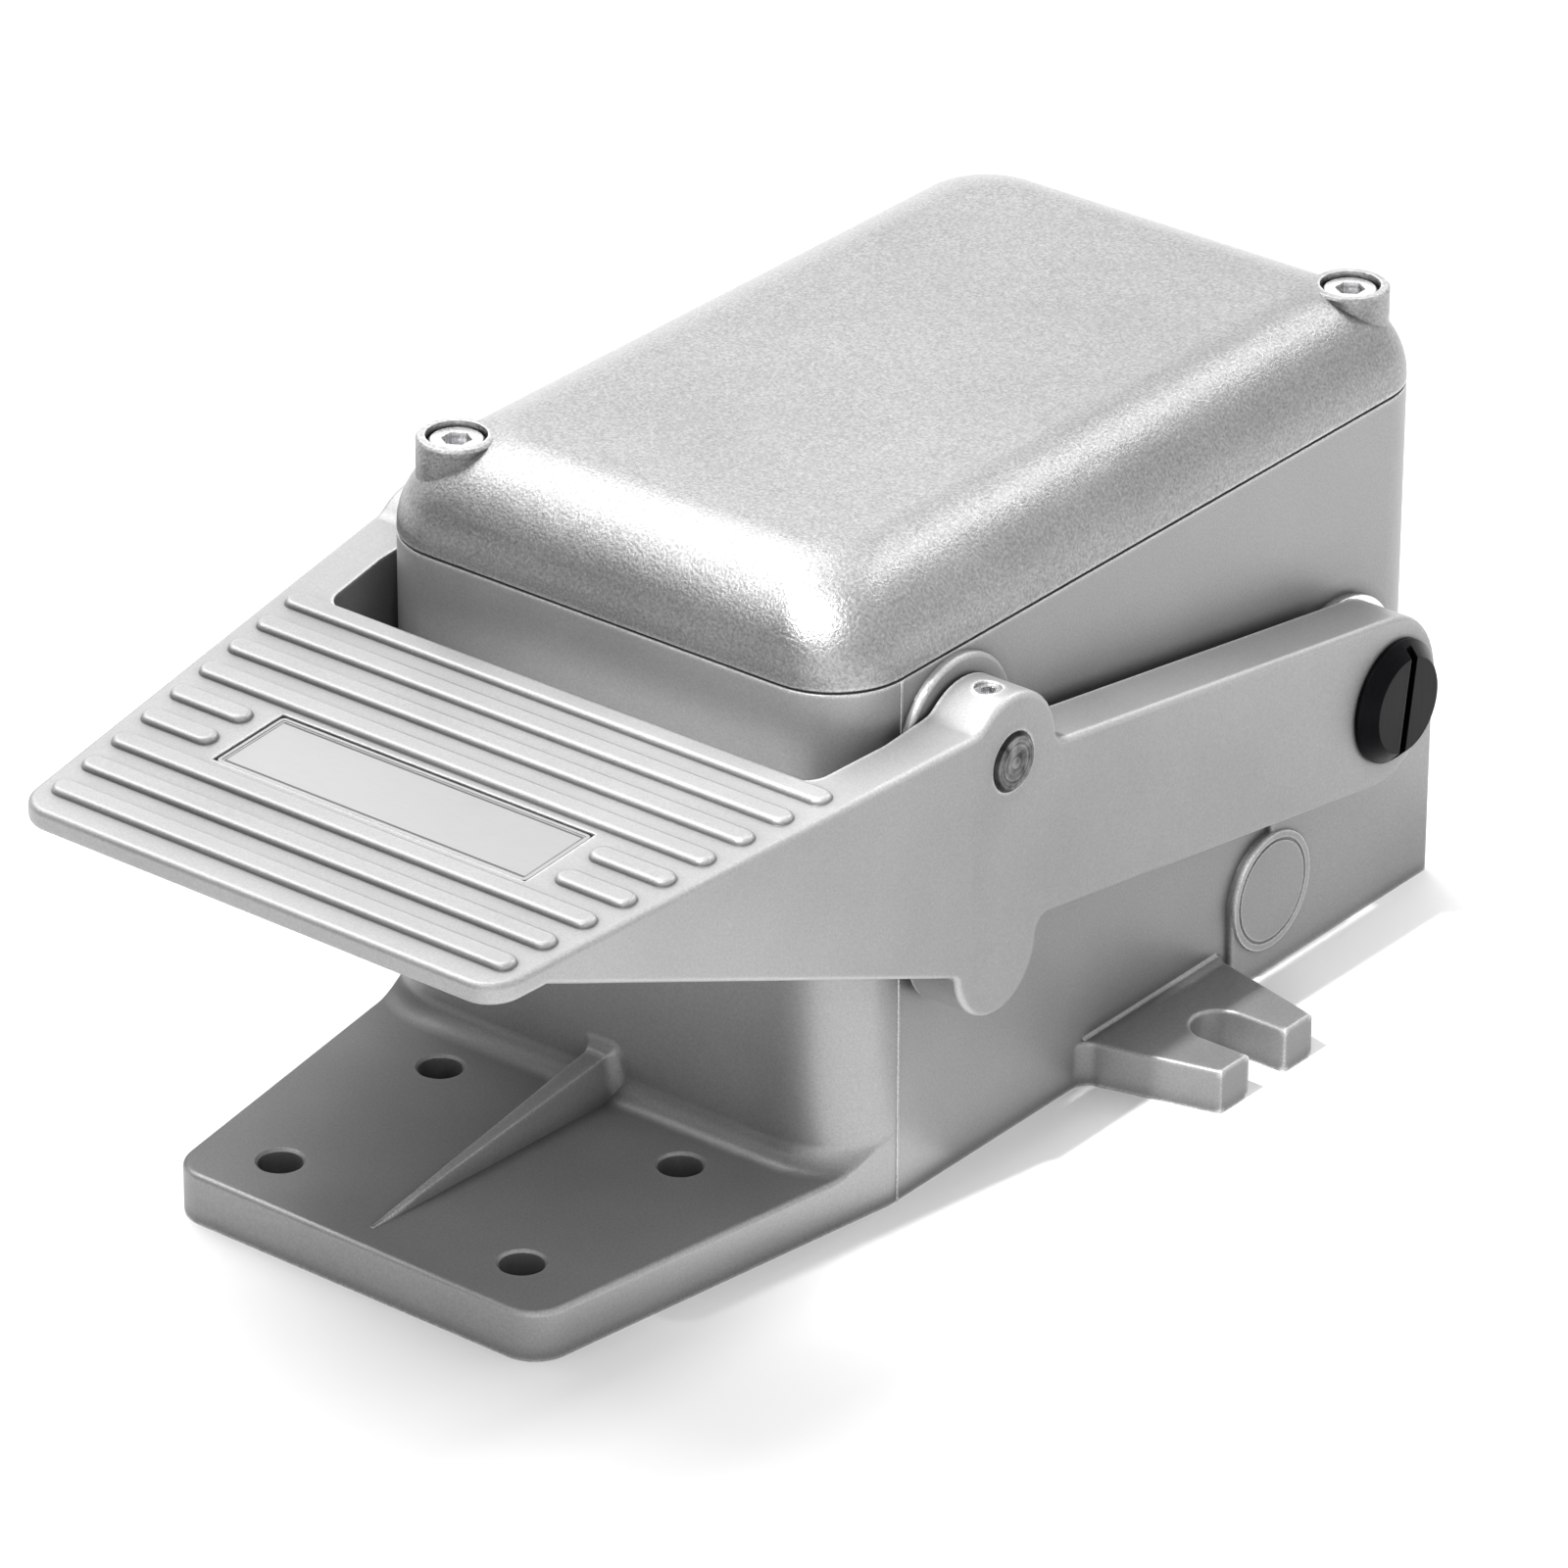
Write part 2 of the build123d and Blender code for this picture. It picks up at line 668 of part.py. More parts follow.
def pedal_side_piece():
    """Right-hand cheek, lug and arm."""
    side = extrude(side_plane(0) * side_profile(), pedal_side)
    return side & extrude(side_plan(), shaft_height + 2 * hump_radius)


def on_pedal_outside(edge):
    """True for an edge of the outer side faces, or of the tread's top at its front."""
    points = [edge @ step for step in (0, 0.5, 1)]
    if all(abs(abs(point.X) - pedal_half_width(point.Y)) < fit_clearance for point in points):
        return True
    front = tread_front_y + tread_corner_radius
    return all(point.Y < front and abs(point.Z - tread_height(point.Y)) < fit_clearance for point in points)


def pedal():
    body = tread_plate()
    body += [piece for piece in both_sides(pedal_side_piece())]
    body = fillet(body.edges().filter_by(on_pedal_outside), pedal_edge_round)
    inner_corners = [
        edge for edge in body.edges().filter_by(Axis.Z)
        if abs(edge.center().Y - tread_rear_y) < 0.01 and abs(edge.center().X) > arm_inner - cheek_thickness]
    body = fillet(inner_corners, tread_inner_corner_radius)
    body += tread_ribs()
    recess = extrude(plate_plane() * Rectangle(plate_width + 2 * plate_gap, plate_depth + 2 * plate_gap),
                     -plate_recess_depth)
    body -= recess
    body -= along_x(-pedal_side, pedal_side, shaft_y, shaft_height, shaft_radius + fit_clearance)
    bore_radius = pivot_shoulder_radius + fit_clearance + bush_wall
    for piece in both_sides(along_x(arm_inner, pedal_side, pivot_y, pivot_height, bore_radius)):
        body -= piece
    seat = along_x(arm_inner, arm_inner + seal_seat_depth, shaft_y, shaft_height,
                   seal_outer_radius + fit_clearance)
    for piece in both_sides(seat):
        body -= piece
    for x in set_screw_places():
        body -= along_z(x, shaft_y, shaft_height, shaft_height + hump_radius + 1,
                        set_screw_radius + fit_clearance)
    return body


def name_plate():
    plane = plate_plane().offset(-plate_recess_depth)
    return extrude(plane * RectangleRounded(plate_width, plate_depth, plate_corner_radius), plate_thickness)


def set_screw_places():
    middle = arm_inner + pedal_side_thickness / 2
    return (-middle, middle)


def cross_shaft():
    end = pedal_side + shaft_end_proud
    bar = along_x(-end, end, shaft_y, shaft_height, shaft_radius)
    bar = chamfer(bar.edges(), shaft_end_chamfer)
    for x in set_screw_places():
        bar -= along_z(x, shaft_y, shaft_height + shaft_radius - shaft_flat_depth,
                       shaft_height + 2 * shaft_radius, set_screw_radius + fit_clearance)
    return bar


def shaft_set_screws():
    low = shaft_height + shaft_radius - shaft_flat_depth
    high = shaft_height + hump_radius - set_screw_below_top
    screws = []
    for x in set_screw_places():
        screw = along_z(x, shaft_y, low, high, set_screw_radius)
        screw -= extrude(Plane(origin=(x, shaft_y, high)) *
                         RegularPolygon(set_screw_hex_across / 2, 6, major_radius=False),
                         -set_screw_hex_depth)
        screws.append(screw)
    return joined(screws)


def shaft_seals():
    start = half_width + slot_rim_proud + 2 * fit_clearance
    ring = along_x(start, arm_inner + seal_seat_depth, shaft_y, shaft_height, seal_outer_radius)
    ring -= along_x(start, arm_inner + seal_seat_depth, shaft_y, shaft_height, shaft_radius + fit_clearance)
    return joined(both_sides(ring))


def pivot_bushes():
    start = hinge_rim_face + 2 * fit_clearance
    end = pedal_side
    outer = pivot_shoulder_radius + fit_clearance + bush_wall
    bush = along_x(start, arm_inner, pivot_y, pivot_height, bush_flange_radius)
    bush += along_x(start, end, pivot_y, pivot_height, outer)
    bush -= along_x(start, end, pivot_y, pivot_height, pivot_shoulder_radius + fit_clearance)
    return joined(both_sides(bush))


def pivot_screws():
    face = hinge_rim_face
    seat = pedal_side + 2 * fit_clearance
    head = along_x(seat, seat + pivot_head_height, pivot_y, pivot_height, pivot_head_radius)
    head = chamfer(head.edges().group_by(Axis.X)[-1], pivot_head_chamfer)
    top = side_plane(seat + pivot_head_height)
    groove = top * Pos(pivot_y, pivot_height) * Rot(0, 0, -rise_degrees) * Rectangle(
        pivot_slot_width, 2 * pivot_head_radius)
    head -= extrude(groove, -pivot_slot_depth)
    screw = head + along_x(face, seat, pivot_y, pivot_height, pivot_shoulder_radius)
    screw += along_x(face - pivot_thread_length, face, pivot_y, pivot_height, pivot_thread_radius)
    return joined(both_sides(screw))


def valve_screw_places():
    """Front pair beside the tower, rear pair between the galleries."""
    front_y = from_front(valve_from_front + valve_screw_front[1])
    rear_y = valve_rear_y - valve_screw_rear[1]
    return ((-valve_screw_front[0], front_y), (valve_screw_front[0], front_y),
            (-valve_screw_rear[0], rear_y), (valve_screw_rear[0], rear_y))


valve_bottom_z = floor_thickness
valve_top_z = valve_bottom_z + valve_height
valve_tower_z = valve_bottom_z + tower_height
plunger_top_z = shaft_height - shaft_radius - plunger_under_shaft
plunger_shoulder_z = plunger_top_z - plunger_head_thickness
spool_land_top_z = ledge_height - spool_top_below_ledge
spool_land_low_z = spool_land_top_z - 2 * spool_land_length - spool_neck_length


def port_groove(x):
    """Face groove round a gallery in the valve block's rear face."""
    outer = port_ring_radius + ring_section_radius
    inner = port_ring_radius - ring_section_radius
    groove = along_y(x, valve_rear_y - 2 * ring_section_radius, valve_rear_y, port_height, outer)
    return groove - along_y(x, valve_rear_y - 2 * ring_section_radius, valve_rear_y, port_height, inner)


def valve_body():
    front_y = from_front(valve_from_front)
    block = Pos(0, (front_y + valve_rear_y) / 2, valve_bottom_z + valve_height / 2) * Box(
        valve_width, valve_rear_y - front_y, valve_height)
    block = fillet(block.edges().filter_by(Axis.Z), valve_corner_radius)
    block += along_z(0, plunger_y, valve_bottom_z, valve_tower_z, tower_radius)
    block -= along_z(0, plunger_y, spool_land_low_z - spool_travel, ledge_height, spool_radius + fit_clearance)
    block -= along_z(0, plunger_y, ledge_height, valve_tower_z, large_bore_radius)
    block -= along_z(0, plunger_y, valve_tower_z - guide_length, valve_tower_z, guide_outer_radius)
    for x in (-port_spacing, 0, port_spacing):
        block -= along_y(x, plunger_y, valve_rear_y, port_height, gallery_radius)
        block -= port_groove(x)
    for side in (-1, 1):
        z = port_height + side * cross_gallery_offset
        drilling = along_x(0, valve_width / 2, plunger_y, z, cross_gallery_radius)
        block -= drilling if side > 0 else mirror(drilling, about=Plane.YZ)
    for x, y in valve_screw_places():
        block -= along_z(x, y, valve_bottom_z, valve_top_z, valve_screw_radius + loose_clearance)
        block -= along_z(x, y, valve_top_z - valve_screw_head_height, valve_top_z,
                         valve_screw_head_radius + loose_clearance)
    return block


def gallery_plugs():
    """Plugs in the mouths of the two cross drillings."""
    start = port_spacing + gallery_radius + fit_clearance
    plugs = []
    for side in (-1, 1):
        z = port_height + side * cross_gallery_offset
        plug = along_x(start, valve_width / 2, plunger_y, z, cross_gallery_radius - fit_clearance)
        plugs.append(plug if side > 0 else mirror(plug, about=Plane.YZ))
    return joined(plugs)


def valve_screws():
    length = valve_height - valve_screw_head_height + valve_screw_depth
    return joined([
        cap_screw(x, y, valve_top_z - valve_screw_head_height, valve_screw_head_radius,
                  valve_screw_head_height, valve_screw_radius, length,
                  valve_screw_hex_across, valve_screw_hex_depth)
        for x, y in valve_screw_places()])


def guide_bush():
    low = valve_tower_z - guide_length
    bush = along_z(0, plunger_y, low, valve_tower_z, guide_outer_radius)
    return bush - along_z(0, plunger_y, low, valve_tower_z, plunger_radius + fit_clearance)


def plunger():
    head = along_z(0, plunger_y, plunger_shoulder_z, plunger_top_z, plunger_head_radius)
    head = fillet(head.edges().group_by(Axis.Z)[-1], plunger_head_round)
    low = ledge_height + plunger_stop_gap + plunger_travel
    skirt = along_z(0, plunger_y, low, plunger_shoulder_z, plunger_radius)
    return head + skirt - along_z(0, plunger_y, low, plunger_shoulder_z, plunger_bore_radius)


def spool():
    land_top = spool_land_top_z
    body = along_z(0, plunger_y, spool_land_low_z, land_top, spool_radius)
    neck_low = spool_land_low_z + spool_land_length
    neck = along_z(0, plunger_y, neck_low, neck_low + spool_neck_length, spool_radius + 1)
    body -= neck - along_z(0, plunger_y, neck_low, neck_low + spool_neck_length, spool_neck_radius)
    body += along_z(0, plunger_y, land_top, spool_stem_top, spool_neck_radius)
    for z in spool_ring_heights():
        body -= spool_ring_groove(z)
    clip_low = spring_plate_height + spring_plate_thickness
    groove = along_z(0, plunger_y, clip_low, clip_low + circlip_thickness, spool_neck_radius)
    groove -= along_z(0, plunger_y, clip_low, clip_low + circlip_thickness, spool_neck_radius - circlip_groove_depth)
    return body - groove


def spool_ring_heights():
    middle = spool_land_length / 2
    return (spool_land_low_z + middle, spool_land_top_z - middle)


def spool_ring_groove(z):
    half = spool_ring_section_radius
    ring = along_z(0, plunger_y, z - half, z + half, spool_radius + 1)
    return ring - along_z(0, plunger_y, z - half, z + half, spool_radius - 2 * half)


def spool_seals():
    major = spool_radius - spool_ring_section_radius
    return joined([Pos(0, plunger_y, z) * Torus(major, spool_ring_section_radius)
                   for z in spool_ring_heights()])


def port_seals():
    rings = []
    for x in (-port_spacing, 0, port_spacing):
        plane = Plane(origin=(x, valve_rear_y - ring_section_radius, port_height), z_dir=(0, 1, 0))
        rings.append(plane * Torus(port_ring_radius, ring_section_radius))
    return joined(rings)


def spring_plate():
    top = spring_plate_height + spring_plate_thickness
    disc = along_z(0, plunger_y, spring_plate_height, top, spring_plate_radius)
    return disc - along_z(0, plunger_y, spring_plate_height, top, spool_neck_radius + fit_clearance)


def stem_circlip():
    low = spring_plate_height + spring_plate_thickness
    ring = along_z(0, plunger_y, low, low + circlip_thickness, circlip_radius)
    ring -= along_z(0, plunger_y, low, low + circlip_thickness, spool_neck_radius - circlip_groove_depth)
    gap = Pos(0, plunger_y - circlip_radius, low + circlip_thickness / 2) * Box(
        spool_neck_radius, 2 * circlip_radius, circlip_thickness)
    return ring - gap


def coil_spring(z_low, z_high, turns):
    """Round-wire helix whose wire just touches both seats."""
    height = z_high - z_low - 2 * spring_wire_radius
    path = Pos(0, plunger_y, z_low + spring_wire_radius) * Helix(height / turns, height, spring_mean_radius)
    start = path @ 0
    section = Plane(origin=start, z_dir=path % 0) * RegularPolygon(spring_wire_radius, 6)
    return sweep(section, path=path, is_frenet=True)


def return_spring():
    return coil_spring(ledge_height, spring_plate_height, return_spring_turns)


def override_spring():
    return coil_spring(spring_plate_height + spring_plate_thickness, plunger_shoulder_z, override_spring_turns)


nodes = {
    "housing": housing,
    "cover": cover,
    "cover_gasket": cover_gasket,
    "cover_screws": cover_screws,
    "pedal": pedal,
    "name_plate": name_plate,
    "cross_shaft": cross_shaft,
    "shaft_set_screws": shaft_set_screws,
    "shaft_seals": shaft_seals,
    "pivot_bushes": pivot_bushes,
    "pivot_screws": pivot_screws,
    "valve_body": valve_body,
    "gallery_plugs": gallery_plugs,
    "valve_screws": valve_screws,
    "port_seals": port_seals,
    "guide_bush": guide_bush,
    "plunger": plunger,
    "override_spring": override_spring,
    "return_spring": return_spring,
    "spring_plate": spring_plate,
    "stem_circlip": stem_circlip,
    "spool": spool,
    "spool_seals": spool_seals,
}

os.makedirs("parts", exist_ok=True)
for name, make in nodes.items():
    export_step(make(), f"parts/{name}.step")
    print("wrote", name)
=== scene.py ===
# %% [markdown]
# # A foot pedal air valve
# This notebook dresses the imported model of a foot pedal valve: a die-cast aluminium box with a
# ribbed pedal in front of it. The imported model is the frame. It comes in first and is never
# moved, so every piece made here is placed in the same metres as the drawing.

# %% Load the frame
import json
import math

import bmesh
import bpy
from mathutils import Matrix, Vector

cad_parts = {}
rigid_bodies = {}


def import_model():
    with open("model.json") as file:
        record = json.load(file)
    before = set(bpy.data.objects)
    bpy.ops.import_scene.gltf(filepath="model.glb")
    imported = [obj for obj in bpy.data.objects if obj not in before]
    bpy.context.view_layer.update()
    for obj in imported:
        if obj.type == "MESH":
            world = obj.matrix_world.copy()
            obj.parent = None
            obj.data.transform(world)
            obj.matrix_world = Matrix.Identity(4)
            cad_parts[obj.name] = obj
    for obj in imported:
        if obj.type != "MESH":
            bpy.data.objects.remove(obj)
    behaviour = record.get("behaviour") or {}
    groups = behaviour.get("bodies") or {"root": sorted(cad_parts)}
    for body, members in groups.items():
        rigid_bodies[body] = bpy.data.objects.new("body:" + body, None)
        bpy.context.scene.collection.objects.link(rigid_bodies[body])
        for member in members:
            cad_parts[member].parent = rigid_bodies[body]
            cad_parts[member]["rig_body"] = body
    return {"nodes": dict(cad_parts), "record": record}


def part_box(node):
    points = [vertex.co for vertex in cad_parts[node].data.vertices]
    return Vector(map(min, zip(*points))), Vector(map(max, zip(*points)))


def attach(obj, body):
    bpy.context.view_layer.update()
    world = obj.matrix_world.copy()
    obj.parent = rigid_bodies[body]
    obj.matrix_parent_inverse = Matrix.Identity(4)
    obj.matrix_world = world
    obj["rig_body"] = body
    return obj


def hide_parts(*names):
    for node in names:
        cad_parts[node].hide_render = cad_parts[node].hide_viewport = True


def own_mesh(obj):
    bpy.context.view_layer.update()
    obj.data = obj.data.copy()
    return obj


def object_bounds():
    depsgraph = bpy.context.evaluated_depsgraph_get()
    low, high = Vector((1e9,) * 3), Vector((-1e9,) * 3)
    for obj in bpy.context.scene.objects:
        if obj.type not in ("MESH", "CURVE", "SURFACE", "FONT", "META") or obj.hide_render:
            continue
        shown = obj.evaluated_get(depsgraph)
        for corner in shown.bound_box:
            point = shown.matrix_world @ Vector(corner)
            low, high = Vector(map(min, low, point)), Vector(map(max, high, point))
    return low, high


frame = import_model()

cad_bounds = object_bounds()
scene = bpy.context.scene
MM = 0.001
print("nodes in the frame:", sorted(frame["nodes"]))

# %% [markdown]
# ## Camera
# The photograph was taken with a long lens, so the valve's parallel edges stay nearly parallel.
# A camera is placed by its direction: its own Z axis points from the subject back to the lens.
# The three axes are put in a matrix by hand, because the small roll of the photograph is then
# one more turn of the same axes.

# %% Camera
AZIMUTH = math.radians(38.6287)
ELEVATION = math.radians(27.7562)
ROLL = math.radians(0.1676)
LOOK_AT = Vector((1.30, 67.4, 41.78)) * MM
DISTANCE = 1345.6 * MM
FOCAL_LENGTH = 212.03  # millimetres, a long lens
SENSOR_WIDTH = 36

back = Vector((math.sin(AZIMUTH) * math.cos(ELEVATION),
               -math.cos(AZIMUTH) * math.cos(ELEVATION),
               math.sin(ELEVATION)))
level_right = Vector((math.cos(AZIMUTH), math.sin(AZIMUTH), 0))
level_up = back.cross(level_right)
right = level_right * math.cos(ROLL) + level_up * math.sin(ROLL)
up = level_up * math.cos(ROLL) - level_right * math.sin(ROLL)

camera_data = bpy.data.cameras.new("camera")
camera_data.lens = FOCAL_LENGTH
camera_data.sensor_width = SENSOR_WIDTH
camera_data.sensor_fit = "HORIZONTAL"
camera = bpy.data.objects.new("camera", camera_data)
scene.collection.objects.link(camera)
turned = Matrix((right, up, back)).transposed().to_4x4()
camera.matrix_world = Matrix.Translation(LOOK_AT + back * DISTANCE) @ turned
scene.camera = camera
scene.view_settings.view_transform = "Standard"
print("camera at", [round(v, 3) for v in camera.location])

# %% [markdown]
# ## Two small helpers
# Colours are written as the hex values that a paint program shows. Shaders work in linear light,
# so one function turns them. The other adds a node, sets its sockets and its settings, and links
# what feeds it, so a material reads as a list of its nodes.

# %% Helpers for colours and nodes
def linear(hex_colour):
    """Hex colour as sRGB shows it, turned to linear red, green, blue and alpha."""
    channels = [int(hex_colour[i:i + 2], 16) / 255 for i in (1, 3, 5)]
    return [c / 12.92 if c <= 0.04045 else ((c + 0.055) / 1.055) ** 2.4 for c in channels] + [1.0]


def add(tree, kind, inputs=None, **settings):
    """Add a node. A value in inputs that is a socket is linked, anything else is set."""
    node = tree.nodes.new("ShaderNode" + kind)
    for name, value in settings.items():
        setattr(node, name, value)
    for name, value in (inputs or {}).items():
        if isinstance(value, bpy.types.NodeSocket):
            tree.links.new(value, node.inputs[name])
        else:
            node.inputs[name].default_value = value
    return node


def new_material(name):
    """Empty material with its output node, and the tree that its nodes go in."""
    material = bpy.data.materials.new(name)
    material.use_nodes = True
    material.node_tree.nodes.clear()
    output = add(material.node_tree, "OutputMaterial")
    return material, material.node_tree, output


# %% [markdown]
# ## Light
# Bead-blasted metal shows its lamps as broad soft streaks, so most lamps are large panels. The main
# one hangs high on the left. A narrow one high behind the valve draws the bright streak along the
# cover's round edge, a wide low one stands behind it as a backdrop, and a narrow one in front lights
# the corner. One small spot picks out the lug. The world is plain white at a strength of 1, which
# is also what the camera sees behind the floor.

# %% Lamps and world
def link_and_aim(lamp, place, faces):
    """Put a lamp in the scene at a place, facing a point."""
    scene.collection.objects.link(lamp)
    lamp.location = place
    lamp.rotation_euler = (Vector(place) - Vector(faces)).to_track_quat("Z", "Y").to_euler()


def soft_panel(name, place, faces, width, height, brightness):
    """Rectangular lamp at a place, facing a point; its brightness is in whites."""
    data = bpy.data.lights.new(name, "AREA")
    data.shape = "RECTANGLE"
    data.size = width
    data.size_y = height
    data.energy = brightness * math.pi * width * height
    lamp = bpy.data.objects.new(name, data)
    link_and_aim(lamp, place, faces)
    lamp.visible_camera = False


def spot(name, place, faces, cone_degrees, watts):
    """Small lamp with a soft-edged cone."""
    data = bpy.data.lights.new(name, "SPOT")
    data.energy = watts
    data.spot_size = math.radians(cone_degrees)
    data.spot_blend = 1.0
    data.shadow_soft_size = 0.05
    link_and_aim(bpy.data.objects.new(name, data), place, faces)


soft_panel("overhead_panel", (-1.30, 0.32, 1.98), (-0.30, 0.10, 0), 2.0, 1.5, 5.0)
soft_panel("ridge_strip", (0.22, 1.59, 1.64), (0, 0.07, 0.08), 0.35, 0.9, 11)
soft_panel("backdrop_panel", (-1.60, 2.00, 0.60), (0, 0, 0.60), 3.2, 1.2, 1.3)
soft_panel("front_strip", (0.95, -1.20, 0.45), (0, 0, 0.10), 0.30, 0.8, 2.6)
spot("lug_spot", (0.048, -0.90, 1.60), (0.048, 0.047, 0.08), 3.9, 370)

world = bpy.data.worlds.new("white_room")
scene.world = world
world.use_nodes = True
world_tree = world.node_tree
world_tree.nodes.clear()
white = add(world_tree, "Background", {"Color": (1, 1, 1, 1), "Strength": 1.0})
add(world_tree, "OutputWorld", {"Surface": white.outputs[0]})

# %% [markdown]
# A photographer darkens metal by what it mirrors. Two dark cards stand where only reflections see
# them: a small one under the tread's left side keeps the flange dark, and a large one in front, far
# to the left, keeps the front of the cover from washing out.

# %% Black cards
def mirrored_only(name, bm, material):
    """Studio piece that only reflections see: no camera, no soft light and no shadow finds it."""
    mesh = bpy.data.meshes.new(name)
    bm.to_mesh(mesh)
    bm.free()
    mesh.materials.append(material)
    made = bpy.data.objects.new(name, mesh)
    scene.collection.objects.link(made)
    made.visible_camera = False
    made.visible_diffuse = False
    made.visible_shadow = False
    return made


card_material, tree, output = new_material("black studio card")
felt = add(tree, "BsdfDiffuse", {"Color": linear("#181818")})
tree.links.new(felt.outputs[0], output.inputs["Surface"])


def dark_card(name, middle, width, height, turn_degrees):
    """Upright card that only reflections see; at no turn it faces along Y."""
    bm = bmesh.new()
    bmesh.ops.create_grid(bm, x_segments=1, y_segments=1, size=0.5)
    bmesh.ops.scale(bm, verts=bm.verts, vec=(width, height, 1))
    bmesh.ops.rotate(bm, verts=bm.verts, matrix=Matrix.Rotation(math.radians(90), 3, "X"))
    bmesh.ops.rotate(bm, verts=bm.verts, matrix=Matrix.Rotation(math.radians(turn_degrees), 3, "Z"))
    bmesh.ops.translate(bm, verts=bm.verts, vec=middle)
    card = mirrored_only(name, bm, card_material)


dark_card("flange_card", (-0.075, 0.065, 0.0375), 0.19, 0.075, 90)
dark_card("camera_card", (-1.30, -1.95, 0.62), 2.8, 1.1, -33.7)

# %% [markdown]
# ## Floor
# The valve stands on a white sweep. A disc is enough, large enough that its edge is never seen.
# Its own colour is a pale grey-white; the lamps and the world bring it close to white and the
# valve's shadow stays on it.

# %% Floor
FLOOR_RADIUS = 6.0
floor_bm = bmesh.new()
bmesh.ops.create_circle(floor_bm, cap_ends=True, segments=96, radius=FLOOR_RADIUS)
floor_mesh = bpy.data.meshes.new("floor")
floor_bm.to_mesh(floor_mesh)
floor_bm.free()
floor = bpy.data.objects.new("floor", floor_mesh)
scene.collection.objects.link(floor)
floor.location.z = cad_bounds[0][2]
floor_material, tree, output = new_material("white studio floor")
paper = add(tree, "BsdfDiffuse", {"Color": linear("#F2F2F2")})
tree.links.new(paper.outputs[0], output.inputs["Surface"])
floor_mesh.materials.append(floor_material)

# %% [markdown]
# A wall seen from above mirrors the floor in front of it. Two sheets lie there, again for
# reflections only: grey paper beside the valve takes the glare out of the side walls, and a bright
# sheet in front of the right-hand corner draws the light streak down it.

# %% Sheets on the floor
SHEET_LIFT = 0.2 * MM  # above the floor, so that the two never share a plane


def floor_sheet(name, x_low, x_high, y_low, y_high, hex_colour, brightness):
    """Flat sheet on the floor that only reflections see, with its own even glow."""
    bm = bmesh.new()
    bmesh.ops.create_grid(bm, x_segments=1, y_segments=1, size=0.5)
    bmesh.ops.scale(bm, verts=bm.verts, vec=(x_high - x_low, y_high - y_low, 1))
    middle = ((x_low + x_high) / 2, (y_low + y_high) / 2, SHEET_LIFT)
    bmesh.ops.translate(bm, verts=bm.verts, vec=middle)
    material, tree, output = new_material(name.replace("_", " "))
    glow = add(tree, "Emission", {"Color": linear(hex_colour), "Strength": brightness})
    tree.links.new(glow.outputs[0], output.inputs["Surface"])
    sheet = mirrored_only(name, bm, material)
    sheet.location.z = cad_bounds[0][2]


floor_sheet("grey_sheet", 0.047, 0.60, 0.056, 0.19, "#D2D2D2", 1.50)
floor_sheet("corner_sheet", 0.047, 0.60, -0.60, 0.055, "#FFFFFF", 2.2)


# %% [markdown]
# ## Finishes
# Die-cast aluminium leaves the mould smooth and is then blasted with fine beads. The eye sees a
# satin grey with a grain of about a third of a millimetre, which breaks highlights into tiny
# specks, and slightly duller patches some centimetres across. Handling burnishes the edges, and a
# painted highlight lies on them too. The Ambient Occlusion node finds both places: looking outwards
# it finds nooks, where shade is painted darker, and looking inwards it finds thin metal, which is
# an edge and is painted lighter. A wider look outwards paints soft shade between neighbouring walls.
# Real bead-blasting is finer, about a tenth of a millimetre; it is drawn coarser here, since it
# wouldn't show otherwise.

# %% Blasted casting finish
PATCHES_PER_METRE = 45   # dull patches about two centimetres across
NOOK_REACH = 2.5 * MM    # painted shade in inner corners
SHADE_REACH = 12 * MM    # soft shade between neighbouring walls
EDGE_DEPTH = 1.2 * MM    # metal thinner than this, seen from inside, is an edge


